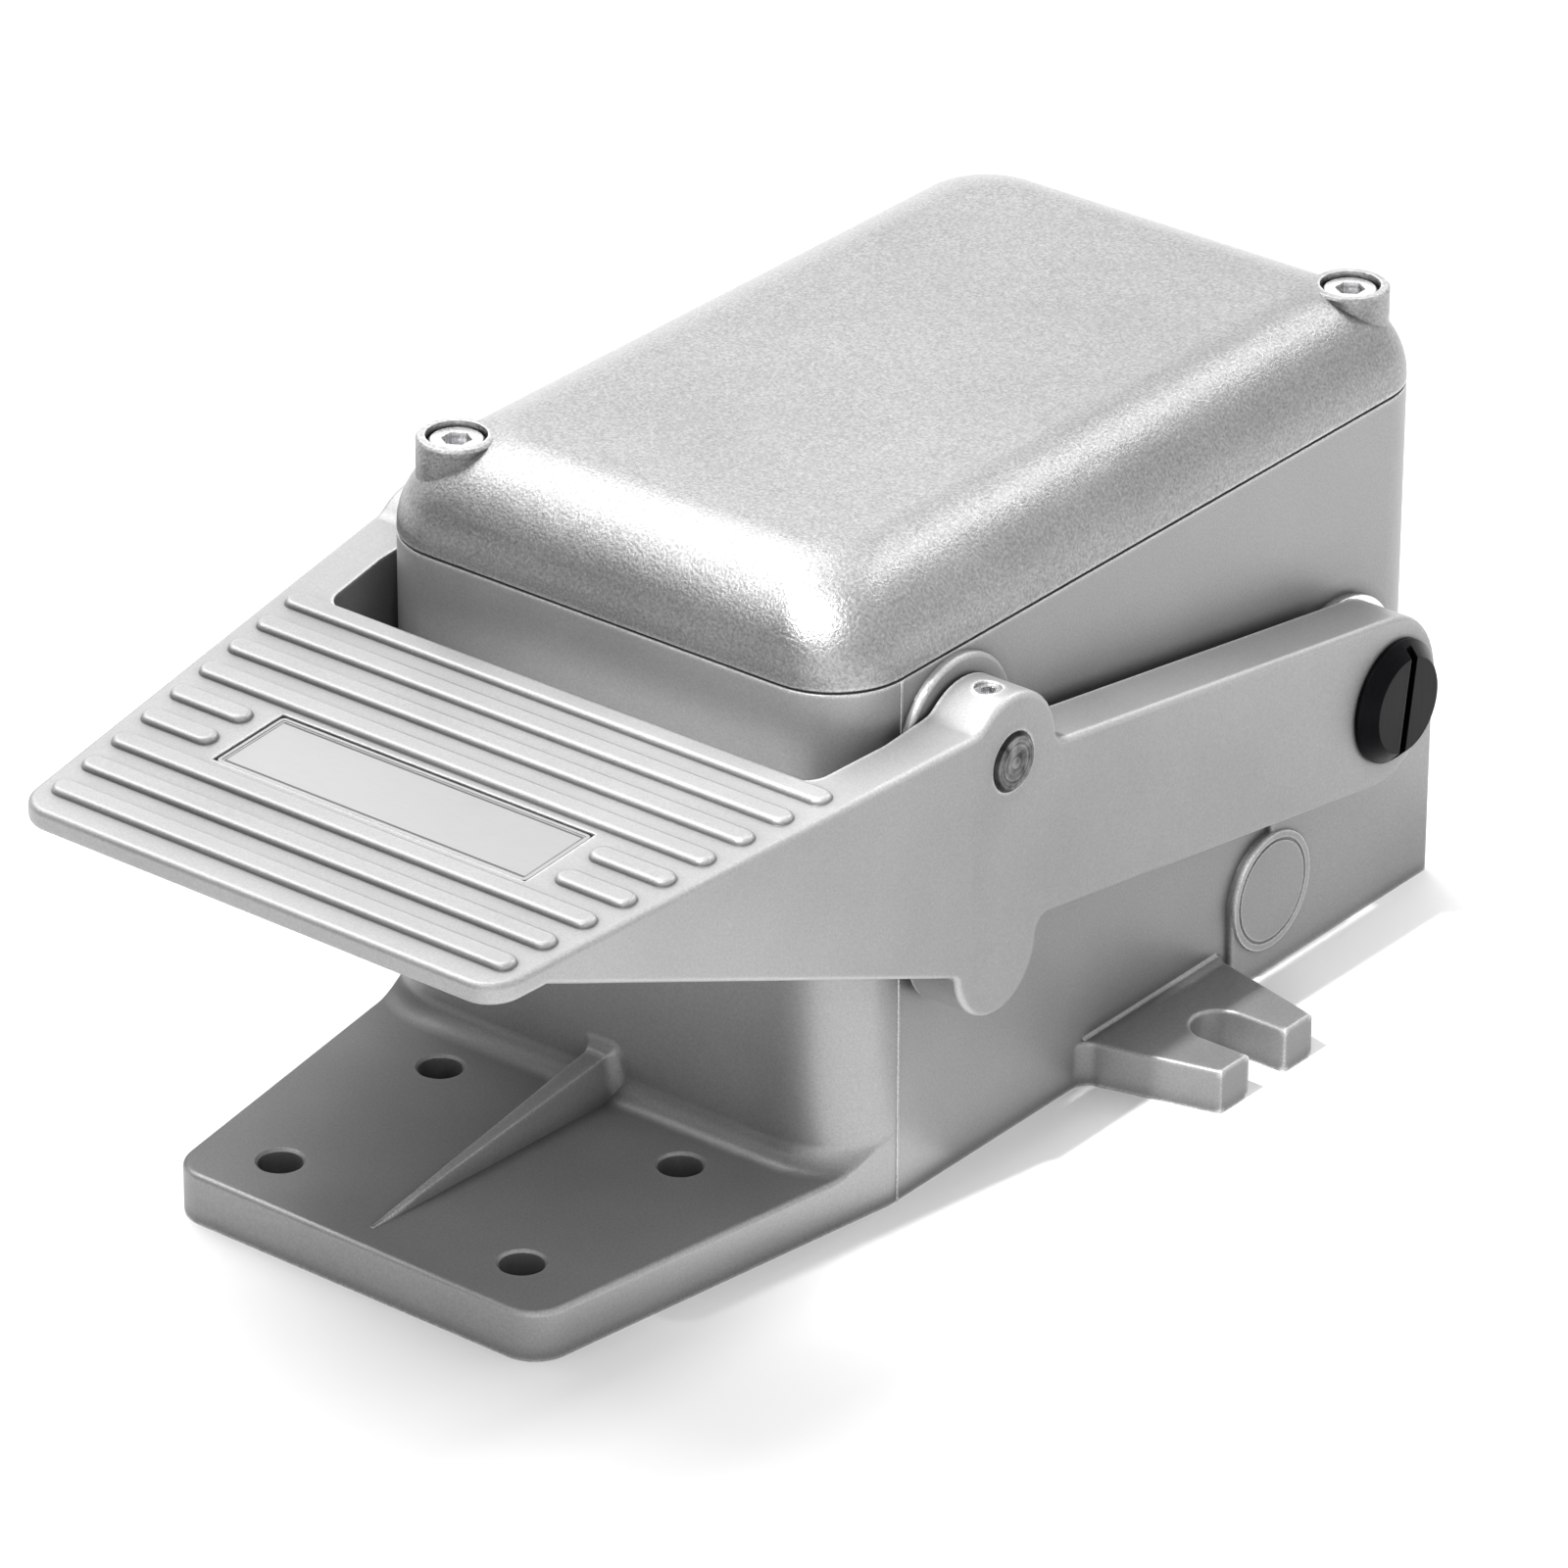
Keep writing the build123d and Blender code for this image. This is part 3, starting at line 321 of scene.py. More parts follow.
def blasted_casting(name, colours, metallic, roughness, grit_mm, grain_depth, edge_mm):
    """Bead-blasted die-cast metal; its colours are the grain's dark, its light and the edges' wear with a
    painted highlight; shade is painted into nooks and between near walls.
    """
    material, tree, output = new_material(name)
    place = add(tree, "TexCoord")
    at = place.outputs["Object"]
    grit = add(tree, "TexNoise", {"Vector": at, "Scale": 1000 / grit_mm, "Detail": 3.0, "Roughness": 0.6})
    cloud = add(tree, "TexNoise", {"Vector": at, "Scale": PATCHES_PER_METRE, "Detail": 4.0,
                                    "Roughness": 0.55})
    tint = add(tree, "MixRGB", {0: grit.outputs[0], 1: linear(colours[0]), 2: linear(colours[1])})
    patch = add(tree, "MapRange", {0: cloud.outputs[0], 1: 0.3, 2: 0.7, 3: 0.95, 4: 1.05})
    shade = add(tree, "MixRGB", {0: 1.0, 1: tint.outputs[0], 2: patch.outputs[0]}, blend_type="MULTIPLY")
    # Painted shade: the colour is darkened in inner corners, where metal stands close outside.
    nook = add(tree, "AmbientOcclusion", {"Distance": NOOK_REACH}, samples=4)
    painted_nook_shade = add(tree, "MapRange", {0: nook.outputs["AO"], 1: 0.35, 2: 0.95, 3: 0.40, 4: 1.0})
    shade = add(tree, "MixRGB", {0: 1.0, 1: shade.outputs[0], 2: painted_nook_shade.outputs[0]}, blend_type="MULTIPLY")
    # Painted shade: the colour is darkened where neighbouring walls stand within reach.
    near = add(tree, "AmbientOcclusion", {"Distance": SHADE_REACH}, samples=4)
    painted_wall_shade = add(tree, "MapRange", {0: near.outputs["AO"], 1: 0.25, 2: 0.85, 3: 0.62, 4: 1.0})
    shade = add(tree, "MixRGB", {0: 1.0, 1: shade.outputs[0], 2: painted_wall_shade.outputs[0]}, blend_type="MULTIPLY")
    rough = add(tree, "MapRange", {0: cloud.outputs[0], 1: 0.3, 2: 0.7,
                                   3: roughness - 0.03, 4: roughness + 0.03})
    soft = add(tree, "Bevel", {"Radius": edge_mm * MM}, samples=6)
    # Worn edges with a painted highlight on them: thin metal is mixed towards the pale edge colour.
    rim = add(tree, "AmbientOcclusion", {"Distance": EDGE_DEPTH}, samples=4, inside=True, only_local=True)
    edge = add(tree, "MapRange", {0: rim.outputs["AO"], 1: 0.52, 2: 0.76, 3: 1.0, 4: 0.0})
    speckled_wear_and_glint = add(tree, "MapRange", {0: grit.outputs[0], 1: 0.40, 2: 0.60, 3: 0.55, 4: 1.0})
    wear_and_painted_highlight = add(tree, "Math", {0: edge.outputs[0], 1: speckled_wear_and_glint.outputs[0]}, operation="MULTIPLY")
    shade = add(tree, "MixRGB", {0: wear_and_painted_highlight.outputs[0], 1: shade.outputs[0], 2: linear(colours[2])})
    pits = add(tree, "Bump", {"Height": grit.outputs[0], "Normal": soft.outputs[0], "Strength": 0.35,
                              "Distance": grain_depth * MM})
    metal = add(tree, "BsdfPrincipled", {"Base Color": shade.outputs[0], "Metallic": metallic,
                                         "Roughness": rough.outputs[0], "Normal": pits.outputs[0]})
    tree.links.new(metal.outputs[0], output.inputs["Surface"])
    return material


# Matt satin grey with a faint grain: blasting leaves an oxide skin, so it is only partly a mirror.
housing_finish = blasted_casting("blasted die-cast aluminium housing",
                                 ("#7E7E7E", "#A2A2A2", "#DCDCDC"), 0.60, 0.42, 0.35, 0.06, 0.20)
# Coarser and brighter: deeper pits break the streak on the round edge into specks.
cover_finish = blasted_casting("blasted die-cast aluminium cover",
                               ("#4E4E4E", "#BCBCBC", "#E0E0E0"), 0.90, 0.38, 0.45, 0.30, 0.25)
# The palest of the three, with the shallowest grain and the broadest soft edges: shoes rub it.
pedal_finish = blasted_casting("blasted die-cast aluminium pedal",
                               ("#868686", "#A6A6A6", "#E4E4E4"), 0.55, 0.42, 0.35, 0.05, 0.35)
# The housing's finish without the edges' wear and painted highlight: nothing rubs an inner corner.
cove_finish = blasted_casting("blasted die-cast aluminium cove",
                              ("#7E7E7E", "#A2A2A2", "#9A9A9A"), 0.60, 0.42, 0.35, 0.06, 0.20)
# Bare milled metal: fully a mirror, with a sheen and almost no grain.
valve_finish = blasted_casting("machined aluminium valve block",
                               ("#9EA0A3", "#B4B6B8", "#C0C1C3"), 1.0, 0.30, 0.8, 0.03, 0.2)

# %% [markdown]
# The small metal pieces differ by how they were made: bright zinc on the screws and washers, fine
# grinding on the plunger and the spool, black oxide on the two hinge screws. One function makes
# them all from a noise that is stretched into lines. The lines too are drawn coarser than life.

# %% Steel and small-part finishes
LINE_STRETCH = 0.04  # the noise is drawn out to 25 times its width


def machined_metal(name, colours, roughness, line_mm, axis, edge_mm, metallic=1.0):
    """Turned, ground or drawn metal, with fine lines that run along one axis."""
    material, tree, output = new_material(name)
    place = add(tree, "TexCoord")
    stretch = [1.0, 1.0, 1.0]
    stretch[axis] = LINE_STRETCH
    along = add(tree, "Mapping", {"Vector": place.outputs["Object"], "Scale": stretch})
    lines = add(tree, "TexNoise", {"Vector": along.outputs[0], "Scale": 1000 / line_mm, "Detail": 2.0})
    tint = add(tree, "MixRGB", {0: lines.outputs[0], 1: linear(colours[0]), 2: linear(colours[1])})
    rough = add(tree, "MapRange", {0: lines.outputs[0], 1: 0.2, 2: 0.8,
                                   3: roughness - 0.05, 4: roughness + 0.05})
    soft = add(tree, "Bevel", {"Radius": edge_mm * MM}, samples=4)
    score = add(tree, "Bump", {"Height": lines.outputs[0], "Normal": soft.outputs[0], "Strength": 0.3,
                               "Distance": 0.02 * MM})
    metal = add(tree, "BsdfPrincipled", {"Base Color": tint.outputs[0], "Metallic": metallic,
                                         "Roughness": rough.outputs[0], "Normal": score.outputs[0]})
    tree.links.new(metal.outputs[0], output.inputs["Surface"])
    return material


# Bright, with almost sharp reflections: the zinc coat is thin and smooth.
zinc_finish = machined_metal("bright zinc-plated steel", ("#C4C5C7", "#EAEAEA"), 0.26, 0.3, 2, 0.12)
# Darker and silky, from the fine lines that the wheel left.
ground_finish = machined_metal("ground steel", ("#5A5A5A", "#7E7E7E"), 0.34, 0.5, 2, 0.15)
# Black with a faint sheen, because the oxide is oiled.
black_finish = machined_metal("black-oxide steel", ("#101012", "#18181A"), 0.42, 0.4, 2, 0.25)
# An even pale grey: brushing along the plate spreads each highlight sideways.
plate_finish = machined_metal("brushed aluminium plate", ("#8E8E8E", "#9C9C9C"), 0.45, 0.15, 0, 0.1)
# Warm brown, and matt from its pores.
bronze_finish = machined_metal("sintered bronze", ("#8A6A3C", "#A88450"), 0.45, 0.3, 0, 0.15)
# Grey with a hard thin highlight along the wire, as the drawing die leaves it.
spring_finish = machined_metal("drawn spring steel", ("#77797C", "#94969A"), 0.30, 0.2, 2, 0.05)

# %% [markdown]
# The seals and the gasket are black rubber and fibre: not metal, dull, with a fine moulded grain.
# The dark lines on the blank plate are enamel, which is as dull and takes the same nodes.

# %% Rubber finish
def moulded_rubber(name, colours, roughness, grain_mm):
    """Dull moulded rubber or fibre sheet."""
    material, tree, output = new_material(name)
    place = add(tree, "TexCoord")
    at = place.outputs["Object"]
    grain = add(tree, "TexNoise", {"Vector": at, "Scale": 1000 / grain_mm, "Detail": 4.0})
    tint = add(tree, "MixRGB", {0: grain.outputs[0], 1: linear(colours[0]), 2: linear(colours[1])})
    rough = add(tree, "MapRange", {0: grain.outputs[0], 1: 0.3, 2: 0.7,
                                   3: roughness - 0.06, 4: roughness + 0.06})
    skin = add(tree, "Bump", {"Height": grain.outputs[0], "Strength": 0.4, "Distance": 0.04 * MM})
    rubber = add(tree, "BsdfPrincipled", {"Base Color": tint.outputs[0], "Roughness": rough.outputs[0],
                                          "IOR": 1.52, "Normal": skin.outputs[0]})
    tree.links.new(rubber.outputs[0], output.inputs["Surface"])
    return material


# Near black, with a soft wide highlight.
seal_finish = moulded_rubber("black nitrile rubber", ("#17181A", "#242527"), 0.55, 0.4)
# Dark grey and flat, so that it reads as a drawn line.
enamel_finish = moulded_rubber("grey enamel", ("#3A3A3A", "#4A4A4A"), 0.45, 0.3)
# Black and dry: hardly a highlight along the joint.
gasket_finish = moulded_rubber("black fibre gasket", ("#1B1B1B", "#2A2A2A"), 0.70, 0.5)

# %% [markdown]
# The end of the cross shaft is a sawn and faced bar, with turning marks. It is bright in the middle
# and painted dark towards the rim: painted shade where its chamfer drops into the lug. Both depend
# only on the distance from the shaft's axis, which the shader works out from the place across that axis.

# %% Faced bar finish
TURNING_MM = 0.45  # width of a turning mark
SMEAR_MM = 2.2     # width of a dull smear


def faced_bar(name, axis_y, axis_z, radius):
    """Ground bar along X, with turning marks and painted shade on the rim of its ends."""
    material, tree, output = new_material(name)
    place = add(tree, "TexCoord")
    at = place.outputs["Object"]
    across = add(tree, "VectorMath", {0: at, 1: (0, axis_y, axis_z)}, operation="SUBTRACT")
    flat = add(tree, "VectorMath", {0: across.outputs[0], 1: (0, 1, 1)}, operation="MULTIPLY")
    distance = add(tree, "VectorMath", {0: flat.outputs[0]}, operation="LENGTH")
    ring = add(tree, "CombineXYZ", {"X": distance.outputs["Value"]})
    marks = add(tree, "TexNoise", {"Vector": ring.outputs[0], "Scale": 1000 / TURNING_MM, "Detail": 3.0})
    smear = add(tree, "TexNoise", {"Vector": at, "Scale": 1000 / SMEAR_MM, "Detail": 2.0})
    mixed = add(tree, "Math", {0: marks.outputs[0], 1: smear.outputs[0]}, operation="MULTIPLY")
    steel = add(tree, "MapRange", {0: mixed.outputs[0], 1: 0.14, 2: 0.36, 3: 0.03, 4: 0.30})
    # Painted shade: the colour darkens towards the rim of the end, where the chamfer drops into the lug.
    rim = add(tree, "MapRange", {0: distance.outputs["Value"], 3: 1.0, 4: 0.12,
                                 1: radius - 0.75 * MM, 2: radius - 0.35 * MM})
    tint = add(tree, "Math", {0: steel.outputs[0], 1: rim.outputs[0]}, operation="MULTIPLY")
    score = add(tree, "Bump", {"Height": marks.outputs[0], "Strength": 0.5, "Distance": 0.03 * MM})
    metal = add(tree, "BsdfPrincipled", {"Base Color": tint.outputs[0], "Metallic": 1.0, "Roughness": 0.32,
                                         "Normal": score.outputs[0]})
    tree.links.new(metal.outputs[0], output.inputs["Surface"])
    return material


shaft_low, shaft_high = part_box("cross_shaft")
shaft_middle = (Vector(shaft_low) + Vector(shaft_high)) / 2
shaft_radius = (shaft_high[2] - shaft_low[2]) / 2
shaft_finish = faced_bar("faced steel bar", shaft_middle.y, shaft_middle.z, shaft_radius)

# %% [markdown]
# ## The cast and turned pieces
# The drawing's meshes are loose triangles, one vertex per corner. A copy is welded first, so that
# neighbours share vertices; then faces that meet at a shallow angle are shaded as one curve and
# the others keep a crisp edge. The weighted normals keep large flats flat beside their fillets.

# %% Shade a bmesh and link it
def shaded_object(name, bm, material, crisp_degrees):
    """Object of a bmesh, smooth but for the edges where faces meet at more than an angle."""
    for face in bm.faces:
        face.smooth = True
    for edge in bm.edges:
        shallow = edge.calc_face_angle(0) < math.radians(crisp_degrees)
        edge.smooth = len(edge.link_faces) == 2 and shallow
    mesh = bpy.data.meshes.new(name)
    bm.to_mesh(mesh)
    bm.free()
    mesh.materials.append(material)
    made = bpy.data.objects.new(name, mesh)
    scene.collection.objects.link(made)
    return made


# %% Weld and shade a copy of a node
WELD = 0.002 * MM


def dressed(node_name, piece_name, material, crisp_degrees=24):
    """Piece that stands for one node of the frame, with welded vertices and smooth shading."""
    source = frame["nodes"][node_name]
    bm = bmesh.new()
    bm.from_mesh(source.data)
    bmesh.ops.remove_doubles(bm, verts=bm.verts, dist=WELD)
    piece = shaded_object(piece_name, bm, material, crisp_degrees)
    weights = piece.modifiers.new("even_shading", "WEIGHTED_NORMAL")
    weights.keep_sharp = True
    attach(piece, source["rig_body"])
    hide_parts(node_name)
    return piece


dressed("housing", "housing_casting", housing_finish)
dressed("cover", "cover_casting", cover_finish)
dressed("pedal", "pedal_casting", pedal_finish)
dressed("cover_gasket", "gasket_sheet", gasket_finish)
dressed("cross_shaft", "shaft_bar", shaft_finish)
dressed("shaft_set_screws", "set_screws", zinc_finish)
dressed("pivot_screws", "hinge_screws", black_finish)

# %% [markdown]
# ## Screw heads
# The two cap screws sit deep in the cover's towers, and what shows is the top of the head: a
# flat ring, a narrow chamfer and a hexagon socket with a conical floor. The head starts as a
# 48-sided ring and a hexagon with as many points, bridged to one another, and the rest is extruded
# from the two rings.

# %% Make a piece from a bmesh
FINE_WELD = 0.0005 * MM


def new_piece(name, bm, material, body, crisp_degrees=30):
    """Finished piece with clean normals, placed by its mesh."""
    bmesh.ops.remove_doubles(bm, verts=bm.verts, dist=FINE_WELD)
    bmesh.ops.recalc_face_normals(bm, faces=bm.faces)
    piece = shaded_object(name, bm, material, crisp_degrees)
    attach(piece, body)
    print(name, "has", len(piece.data.polygons), "faces")
    return piece


def join_into(bm, part):
    """Add a part made in its own bmesh to the piece's bmesh."""
    mesh = bpy.data.meshes.new("part")
    part.to_mesh(mesh)
    part.free()
    bm.from_mesh(mesh)
    bpy.data.meshes.remove(mesh)


def edge_ring(bm, sides, radius, height, cuts=0):
    """Closed ring of edges about the Z axis, each side cut into equal parts."""
    made = bmesh.ops.create_circle(bm, segments=sides, radius=radius)
    bmesh.ops.translate(bm, verts=made["verts"], vec=(0, 0, height))
    edges = list({edge for vert in made["verts"] for edge in vert.link_edges})
    if cuts:
        cut = bmesh.ops.subdivide_edges(bm, edges=edges, cuts=cuts)
        edges = [item for item in cut["geom"] if isinstance(item, bmesh.types.BMEdge)]
    return edges


def stretch_ring(bm, edges, factor, rise):
    """Extrude a ring of edges, scale the new ring about the axis and move it along Z."""
    made = bmesh.ops.extrude_edge_only(bm, edges=edges)["geom"]
    verts = [item for item in made if isinstance(item, bmesh.types.BMVert)]
    bmesh.ops.scale(bm, verts=verts, vec=(factor, factor, 1))
    bmesh.ops.translate(bm, verts=verts, vec=(0, 0, rise))
    return [item for item in made if isinstance(item, bmesh.types.BMEdge)]


# Shares of a cap screw's head, as a standard screw has them.
TOP_SHARE = 0.90      # radius of the flat top, of the head's radius
CHAMFER_SHARE = 0.09  # drop of the chamfer, of the head's radius
LIP_SHARE = 0.12      # drop of the socket's bevelled lip, of its width
SOCKET_SHARE = 0.36   # depth below the lip, of its width
FLOOR_SHARE = 0.08    # drop of the drill's cone, of its width
LIP_NARROWS = 0.93    # the socket below its lip, of the lip's width
CONE_NARROWS = 0.55   # the cone's low end, of the socket's width


def socket_screw(bm, centre, head_radius, head_height, across, shank_radius, length):
    """Socket head cap screw pointing down, the top of its head at the centre."""
    new = bmesh.new()
    hexagon = edge_ring(new, 6, across / math.sqrt(3), 0, cuts=7)
    rim = edge_ring(new, 48, head_radius * TOP_SHARE, 0)
    bmesh.ops.bridge_loops(new, edges=hexagon + rim)
    chamfer_drop = CHAMFER_SHARE * head_radius
    chamfer_end = stretch_ring(new, rim, 1 / TOP_SHARE, -chamfer_drop)
    side_end = stretch_ring(new, chamfer_end, 1.0, -(head_height - chamfer_drop))
    seat = stretch_ring(new, side_end, shank_radius / head_radius, 0)
    shank_end = stretch_ring(new, seat, 1.0, -length)
    bmesh.ops.holes_fill(new, edges=shank_end)
    lip = stretch_ring(new, hexagon, LIP_NARROWS, -LIP_SHARE * across)
    wall_end = stretch_ring(new, lip, 1.0, -SOCKET_SHARE * across)
    floor_ring = stretch_ring(new, wall_end, CONE_NARROWS, -FLOOR_SHARE * across)
    bmesh.ops.holes_fill(new, edges=floor_ring)
    bmesh.ops.translate(new, verts=new.verts, vec=centre)
    join_into(bm, new)


# %% Cover screws
M5_HEAD_RADIUS = 4.25 * MM
M5_HEAD_HEIGHT = 5 * MM
M5_SOCKET = 4 * MM
M5_RADIUS = 2.5 * MM
low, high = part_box("cover_screws")
shank_length = high[2] - low[2] - M5_HEAD_HEIGHT
places = [(low[0] + M5_HEAD_RADIUS, low[1] + M5_HEAD_RADIUS),
          (high[0] - M5_HEAD_RADIUS, high[1] - M5_HEAD_RADIUS)]
bm = bmesh.new()
for x, y in places:
    socket_screw(bm, (x, y, high[2]), M5_HEAD_RADIUS, M5_HEAD_HEIGHT, M5_SOCKET, M5_RADIUS, shank_length)
cap_screws = new_piece("cap_screws", bm, zinc_finish, "housing_body")
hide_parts("cover_screws")

# %% [markdown]
# ## Blank plate
# The recess in the tread carries a thin aluminium plate, left blank here. It is a stamped sheet
# with a raised border, so it starts as a cube scaled to a sheet. Its corners and its upper edges
# are bevelled, the top is inset twice and the middle is pushed down. It is then tipped to the
# tread's slope and set in its recess.

# %% Blank plate
TREAD_PITCH = math.radians(3.87)
CORNER_RADIUS = 0.8 * MM
BORDER = 0.45 * MM  # less than the corners' radius, or the inset would fold over itself
STEP_WIDTH = 0.12 * MM
EDGE_SOFTEN = 0.08 * MM
low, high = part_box("name_plate")
plate_size = Vector((56.4, 14.4, 0.5)) * MM
FIELD_DEPTH = 0.16 * MM
plate_middle = (Vector(low) + Vector(high)) / 2
bm = bmesh.new()
bmesh.ops.create_cube(bm, size=1.0)
bmesh.ops.scale(bm, verts=bm.verts, vec=plate_size)
corners = [edge for edge in bm.edges
           if abs(edge.verts[0].co.z - edge.verts[1].co.z) > plate_size.z / 2]
bmesh.ops.bevel(bm, geom=corners, offset=CORNER_RADIUS, segments=5, affect="EDGES",
                profile=0.5, material=-1)
top = max(bm.faces, key=lambda face: face.calc_center_median().z)
bmesh.ops.bevel(bm, geom=list(top.edges), offset=EDGE_SOFTEN, segments=2, affect="EDGES",
                profile=0.5, material=-1)
top = max(bm.faces, key=lambda face: face.calc_center_median().z)
bmesh.ops.inset_region(bm, faces=[top], thickness=BORDER)
bmesh.ops.inset_region(bm, faces=[top], thickness=STEP_WIDTH, depth=-FIELD_DEPTH)
bmesh.ops.rotate(bm, verts=bm.verts, matrix=Matrix.Rotation(TREAD_PITCH, 3, "X"))
bmesh.ops.translate(bm, verts=bm.verts, vec=plate_middle)
blank_plate = new_piece("blank_plate", bm, plate_finish, "pedal_body", crisp_degrees=20)
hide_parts("name_plate")

# %% [markdown]
# A dark line is enamelled just inside the plate's border, broad along the two long sides and
# hair-fine along the short ones. Each is a strip that stands a hundredth of a millimetre proud.

# %% Plate lines
LINE_INSET = 0.95 * MM
LONG_LINE_WIDTH = 0.38 * MM
SHORT_LINE_WIDTH = 0.16 * MM
LINE_THICKNESS = 0.05 * MM
LINE_PROUD = 0.01 * MM
line_x = plate_size.x / 2 - LINE_INSET
line_y = plate_size.y / 2 - LINE_INSET
strips = [(0, side * line_y, 2 * line_x, LONG_LINE_WIDTH) for side in (-1, 1)]
strips += [(side * line_x, 0, SHORT_LINE_WIDTH, 2 * line_y) for side in (-1, 1)]
line_z = plate_size.z / 2 - FIELD_DEPTH + LINE_PROUD - LINE_THICKNESS / 2
bm = bmesh.new()
for x, y, width, depth in strips:
    strip = bmesh.ops.create_cube(bm, size=1.0)["verts"]
    bmesh.ops.scale(bm, verts=strip, vec=(width, depth, LINE_THICKNESS))
    bmesh.ops.translate(bm, verts=strip, vec=(x, y, line_z))
bmesh.ops.rotate(bm, verts=bm.verts, matrix=Matrix.Rotation(TREAD_PITCH, 3, "X"))
bmesh.ops.translate(bm, verts=bm.verts, vec=plate_middle)
new_piece("plate_lines", bm, enamel_finish, "pedal_body")

# %% [markdown]
# ## Port threads
# The three air ports are tapped G1/4, 19 threads to the inch, which is a pitch of 1.337 mm. A
# thread is a section that turns about the port's axis while it moves along it: the spin operator
# does both at once. The ridges stand on the drilled wall of the bore.

# %% Port threads
PITCH = 1.337 * MM
TURNS = 8
STEPS_PER_TURN = 40
ROOT_RADIUS = 5.82 * MM   # just inside the bore's wall, so that no gap shows
CREST_RADIUS = 5.22 * MM
LEAD_IN = 0.9 * MM        # plain bore before the first turn
SECTION = [(ROOT_RADIUS, 0.0), (CREST_RADIUS, 0.42 * PITCH),
           (CREST_RADIUS, 0.58 * PITCH), (ROOT_RADIUS, 0.98 * PITCH)]
ports = [mount["pos_m"] for mount in frame["record"]["mounts"] if mount["name"].startswith("port_")]
bm = bmesh.new()
for x, y, z in ports:
    first_y = y - LEAD_IN
    face = bm.faces.new([bm.verts.new((x + radius, first_y - along, z)) for radius, along in SECTION])
    bmesh.ops.spin(bm, geom=[face], cent=(x, first_y, z), axis=(0, 1, 0),
                   dvec=(0, -PITCH / STEPS_PER_TURN, 0), angle=2 * math.pi * TURNS,
                   steps=STEPS_PER_TURN * TURNS, use_duplicate=False)
new_piece("port_threads", bm, valve_finish, "housing_body", crisp_degrees=50)

# %% [markdown]
# ## Hinge washers
# Between each arm and the housing a bright thrust washer takes the side load. Only its edge shows,
# as a thin arc over the arm. A rectangle whose corners are bevelled first, spun once about the
# hinge, makes it.

# %% Hinge washers
def spun_ring(bm, centre, inner, outer, half_thickness, soften):
    """Ring about an axis along X, from a rectangle with soft corners spun a full turn."""
    x, y, z = centre
    new = bmesh.new()
    corners = [(-half_thickness, outer), (half_thickness, outer),
               (half_thickness, inner), (-half_thickness, inner)]
    new.faces.new([new.verts.new((x + across, y, z + radius)) for across, radius in corners])
    bmesh.ops.bevel(new, geom=list(new.verts), offset=soften, segments=2, affect="VERTICES",
                    profile=0.5, material=-1)
    bmesh.ops.delete(new, geom=list(new.faces), context="FACES_ONLY")
    bmesh.ops.spin(new, geom=list(new.edges), cent=centre, axis=(1, 0, 0), dvec=(0, 0, 0),
                   angle=2 * math.pi, steps=96, use_merge=True, use_duplicate=False)
    join_into(bm, new)


WASHER_X = 45.75 * MM
WASHER_INNER = 10.8 * MM
WASHER_OUTER = 13.5 * MM
WASHER_HALF_THICKNESS = 0.38 * MM
WASHER_SOFTEN = 0.12 * MM
joints = frame["record"]["behaviour"]["joints"]
hinge_y, hinge_z = next(joint["pos_m"][1:] for joint in joints if joint["name"] == "pedal_hinge")
bm = bmesh.new()
for side in (-1, 1):
    spun_ring(bm, (side * WASHER_X, hinge_y, hinge_z), WASHER_INNER, WASHER_OUTER,
              WASHER_HALF_THICKNESS, WASHER_SOFTEN)
new_piece("hinge_washers", bm, zinc_finish, "housing_body")

# %% [markdown]
# ## Fork coves
# A casting has no sharp inner corner. Where each fork leaves the side wall a small cove fills it:
# a corner whose long side is a quarter circle, hollow side out, drawn once and extruded along the
# wall.

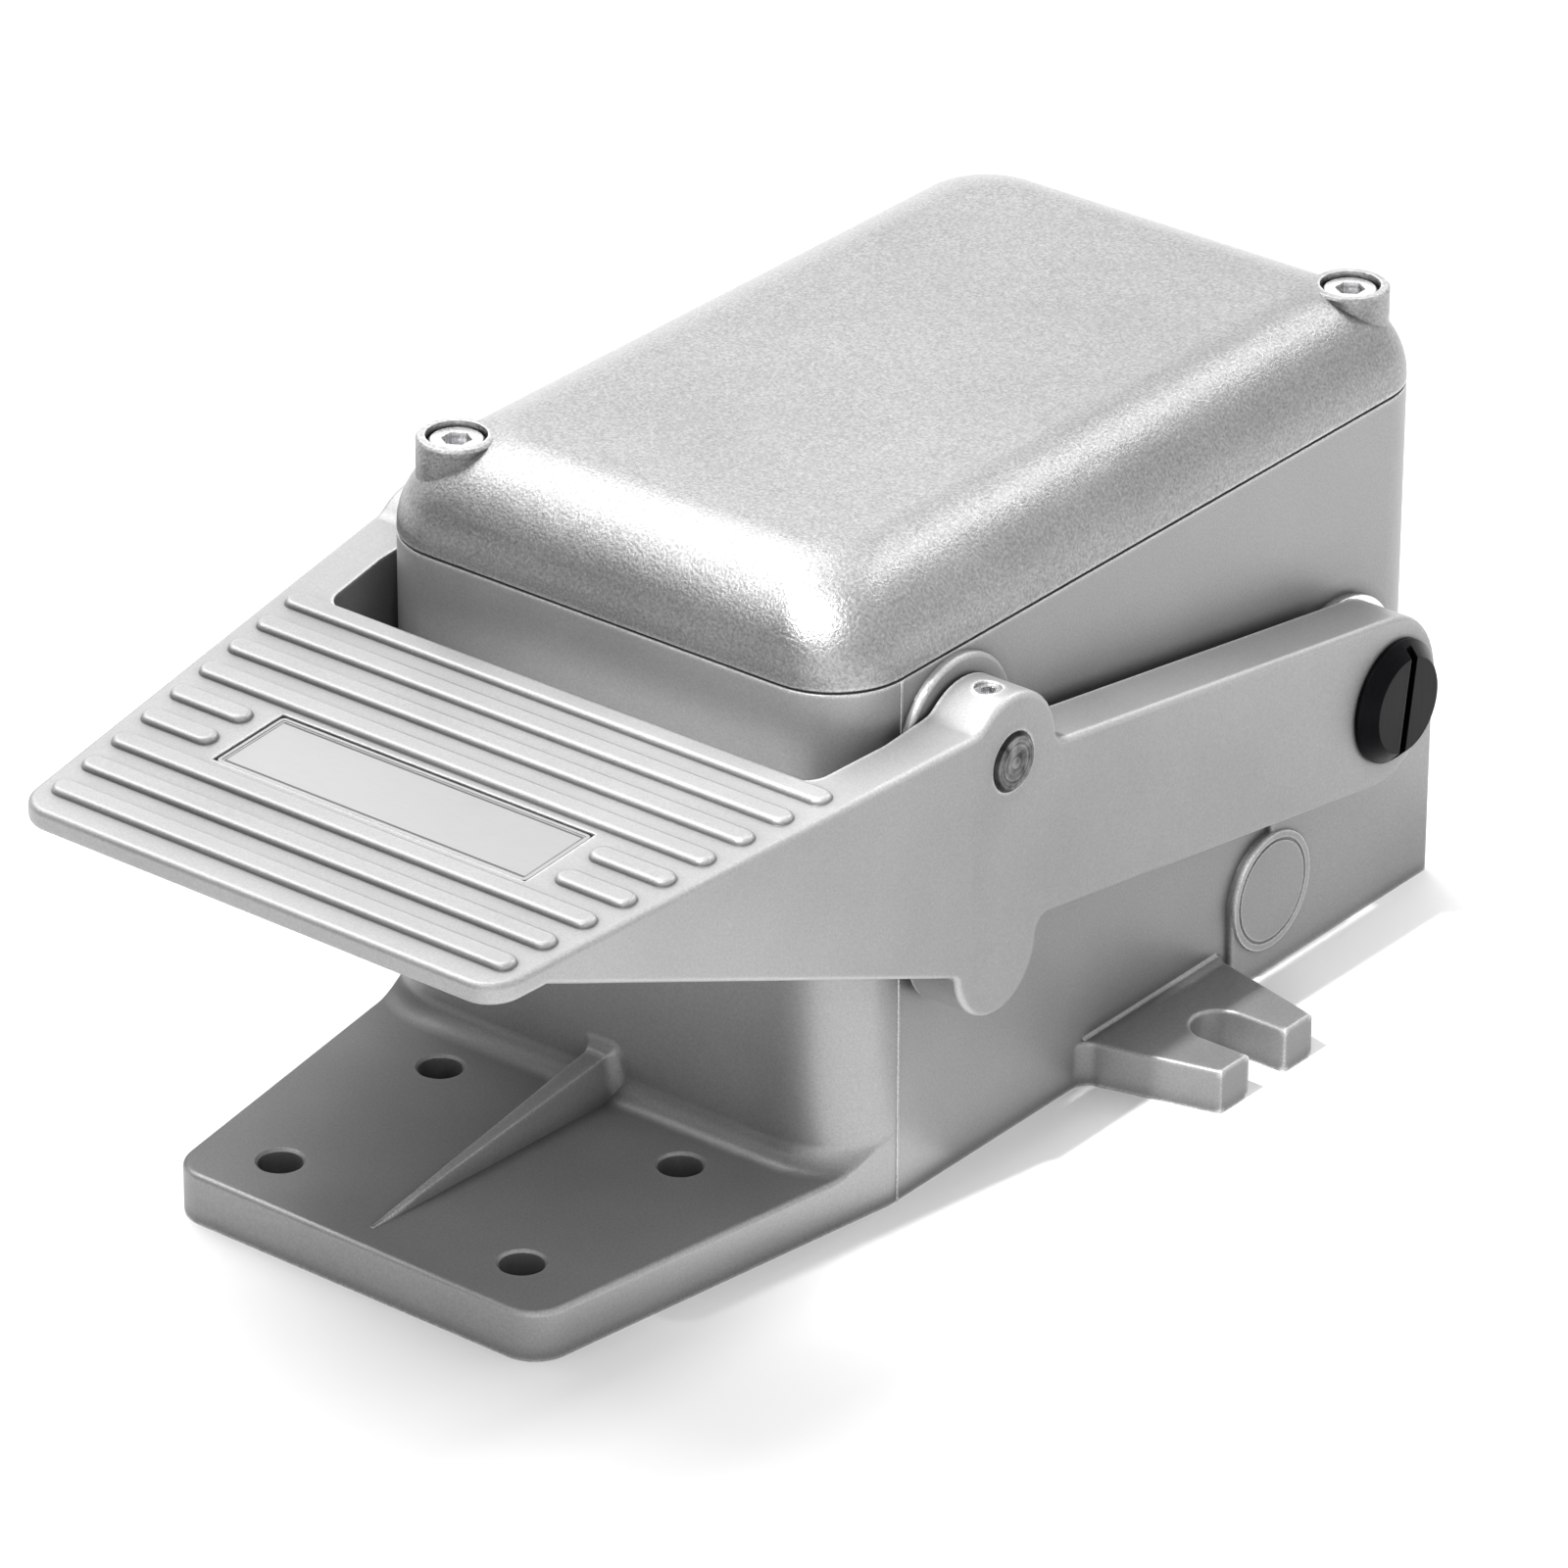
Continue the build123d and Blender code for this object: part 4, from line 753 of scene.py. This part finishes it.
# %% Fork coves
COVE_RADIUS = 0.5 * MM
COVE_LENGTH = 33 * MM
SUNK = 0.1 * MM  # how far the corner stands inside the metal, so that no gap shows
FORK_TOP = 7.2 * MM
WALL_X = 44.4 * MM
mounts = frame["record"]["mounts"]
fork_middle_y = next(mount["pos_m"][1] for mount in mounts if mount["name"] == "side_forks")
first_y = fork_middle_y - COVE_LENGTH / 2
turns = [math.radians(degrees) for degrees in range(0, 91, 10)]
hollow = [(COVE_RADIUS * (1 - math.sin(turn)), COVE_RADIUS * (1 - math.cos(turn))) for turn in turns]
points = [(-SUNK, -SUNK), (COVE_RADIUS, -SUNK), *hollow, (-SUNK, COVE_RADIUS)]
bm = bmesh.new()
for side in (-1, 1):
    face = bm.faces.new([bm.verts.new((side * (WALL_X + out), first_y, FORK_TOP + up_by))
                         for out, up_by in points])
    run = bmesh.ops.extrude_face_region(bm, geom=[face])["geom"]
    bmesh.ops.translate(bm, verts=[item for item in run if isinstance(item, bmesh.types.BMVert)],
                        vec=(0, COVE_LENGTH, 0))
new_piece("fork_coves", bm, cove_finish, "housing_body", crisp_degrees=40)

# %% [markdown]
# ## Inside
# The pieces inside the housing keep the drawing's own shape and only get their finish.

# %% Inner pieces
inner_finishes = {
    "valve_body": valve_finish,
    "gallery_plugs": zinc_finish,
    "valve_screws": zinc_finish,
    "port_seals": seal_finish,
    "shaft_seals": seal_finish,
    "spool_seals": seal_finish,
    "pivot_bushes": bronze_finish,
    "guide_bush": bronze_finish,
    "plunger": ground_finish,
    "spool": ground_finish,
    "spring_plate": zinc_finish,
    "stem_circlip": spring_finish,
}
for node_name, finish in inner_finishes.items():
    mesh = frame["nodes"][node_name].data
    mesh.materials.clear()
    mesh.materials.append(finish)

# %% [markdown]
# ## Springs
# The return spring stands on the valve block and lifts the spool's plate. The override spring
# stands on that plate and lifts the plunger. Each coil is a welded, smoothly shaded copy of the
# drawing's spring in drawn spring steel, with a mesh of its own.


def coil(node_name, piece_name):
    """Spring in drawn spring steel, dressed from its node and given a mesh of its own."""
    piece = dressed(node_name, piece_name, spring_finish)
    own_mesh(piece)


coil("return_spring", "return_coil")
coil("override_spring", "override_coil")
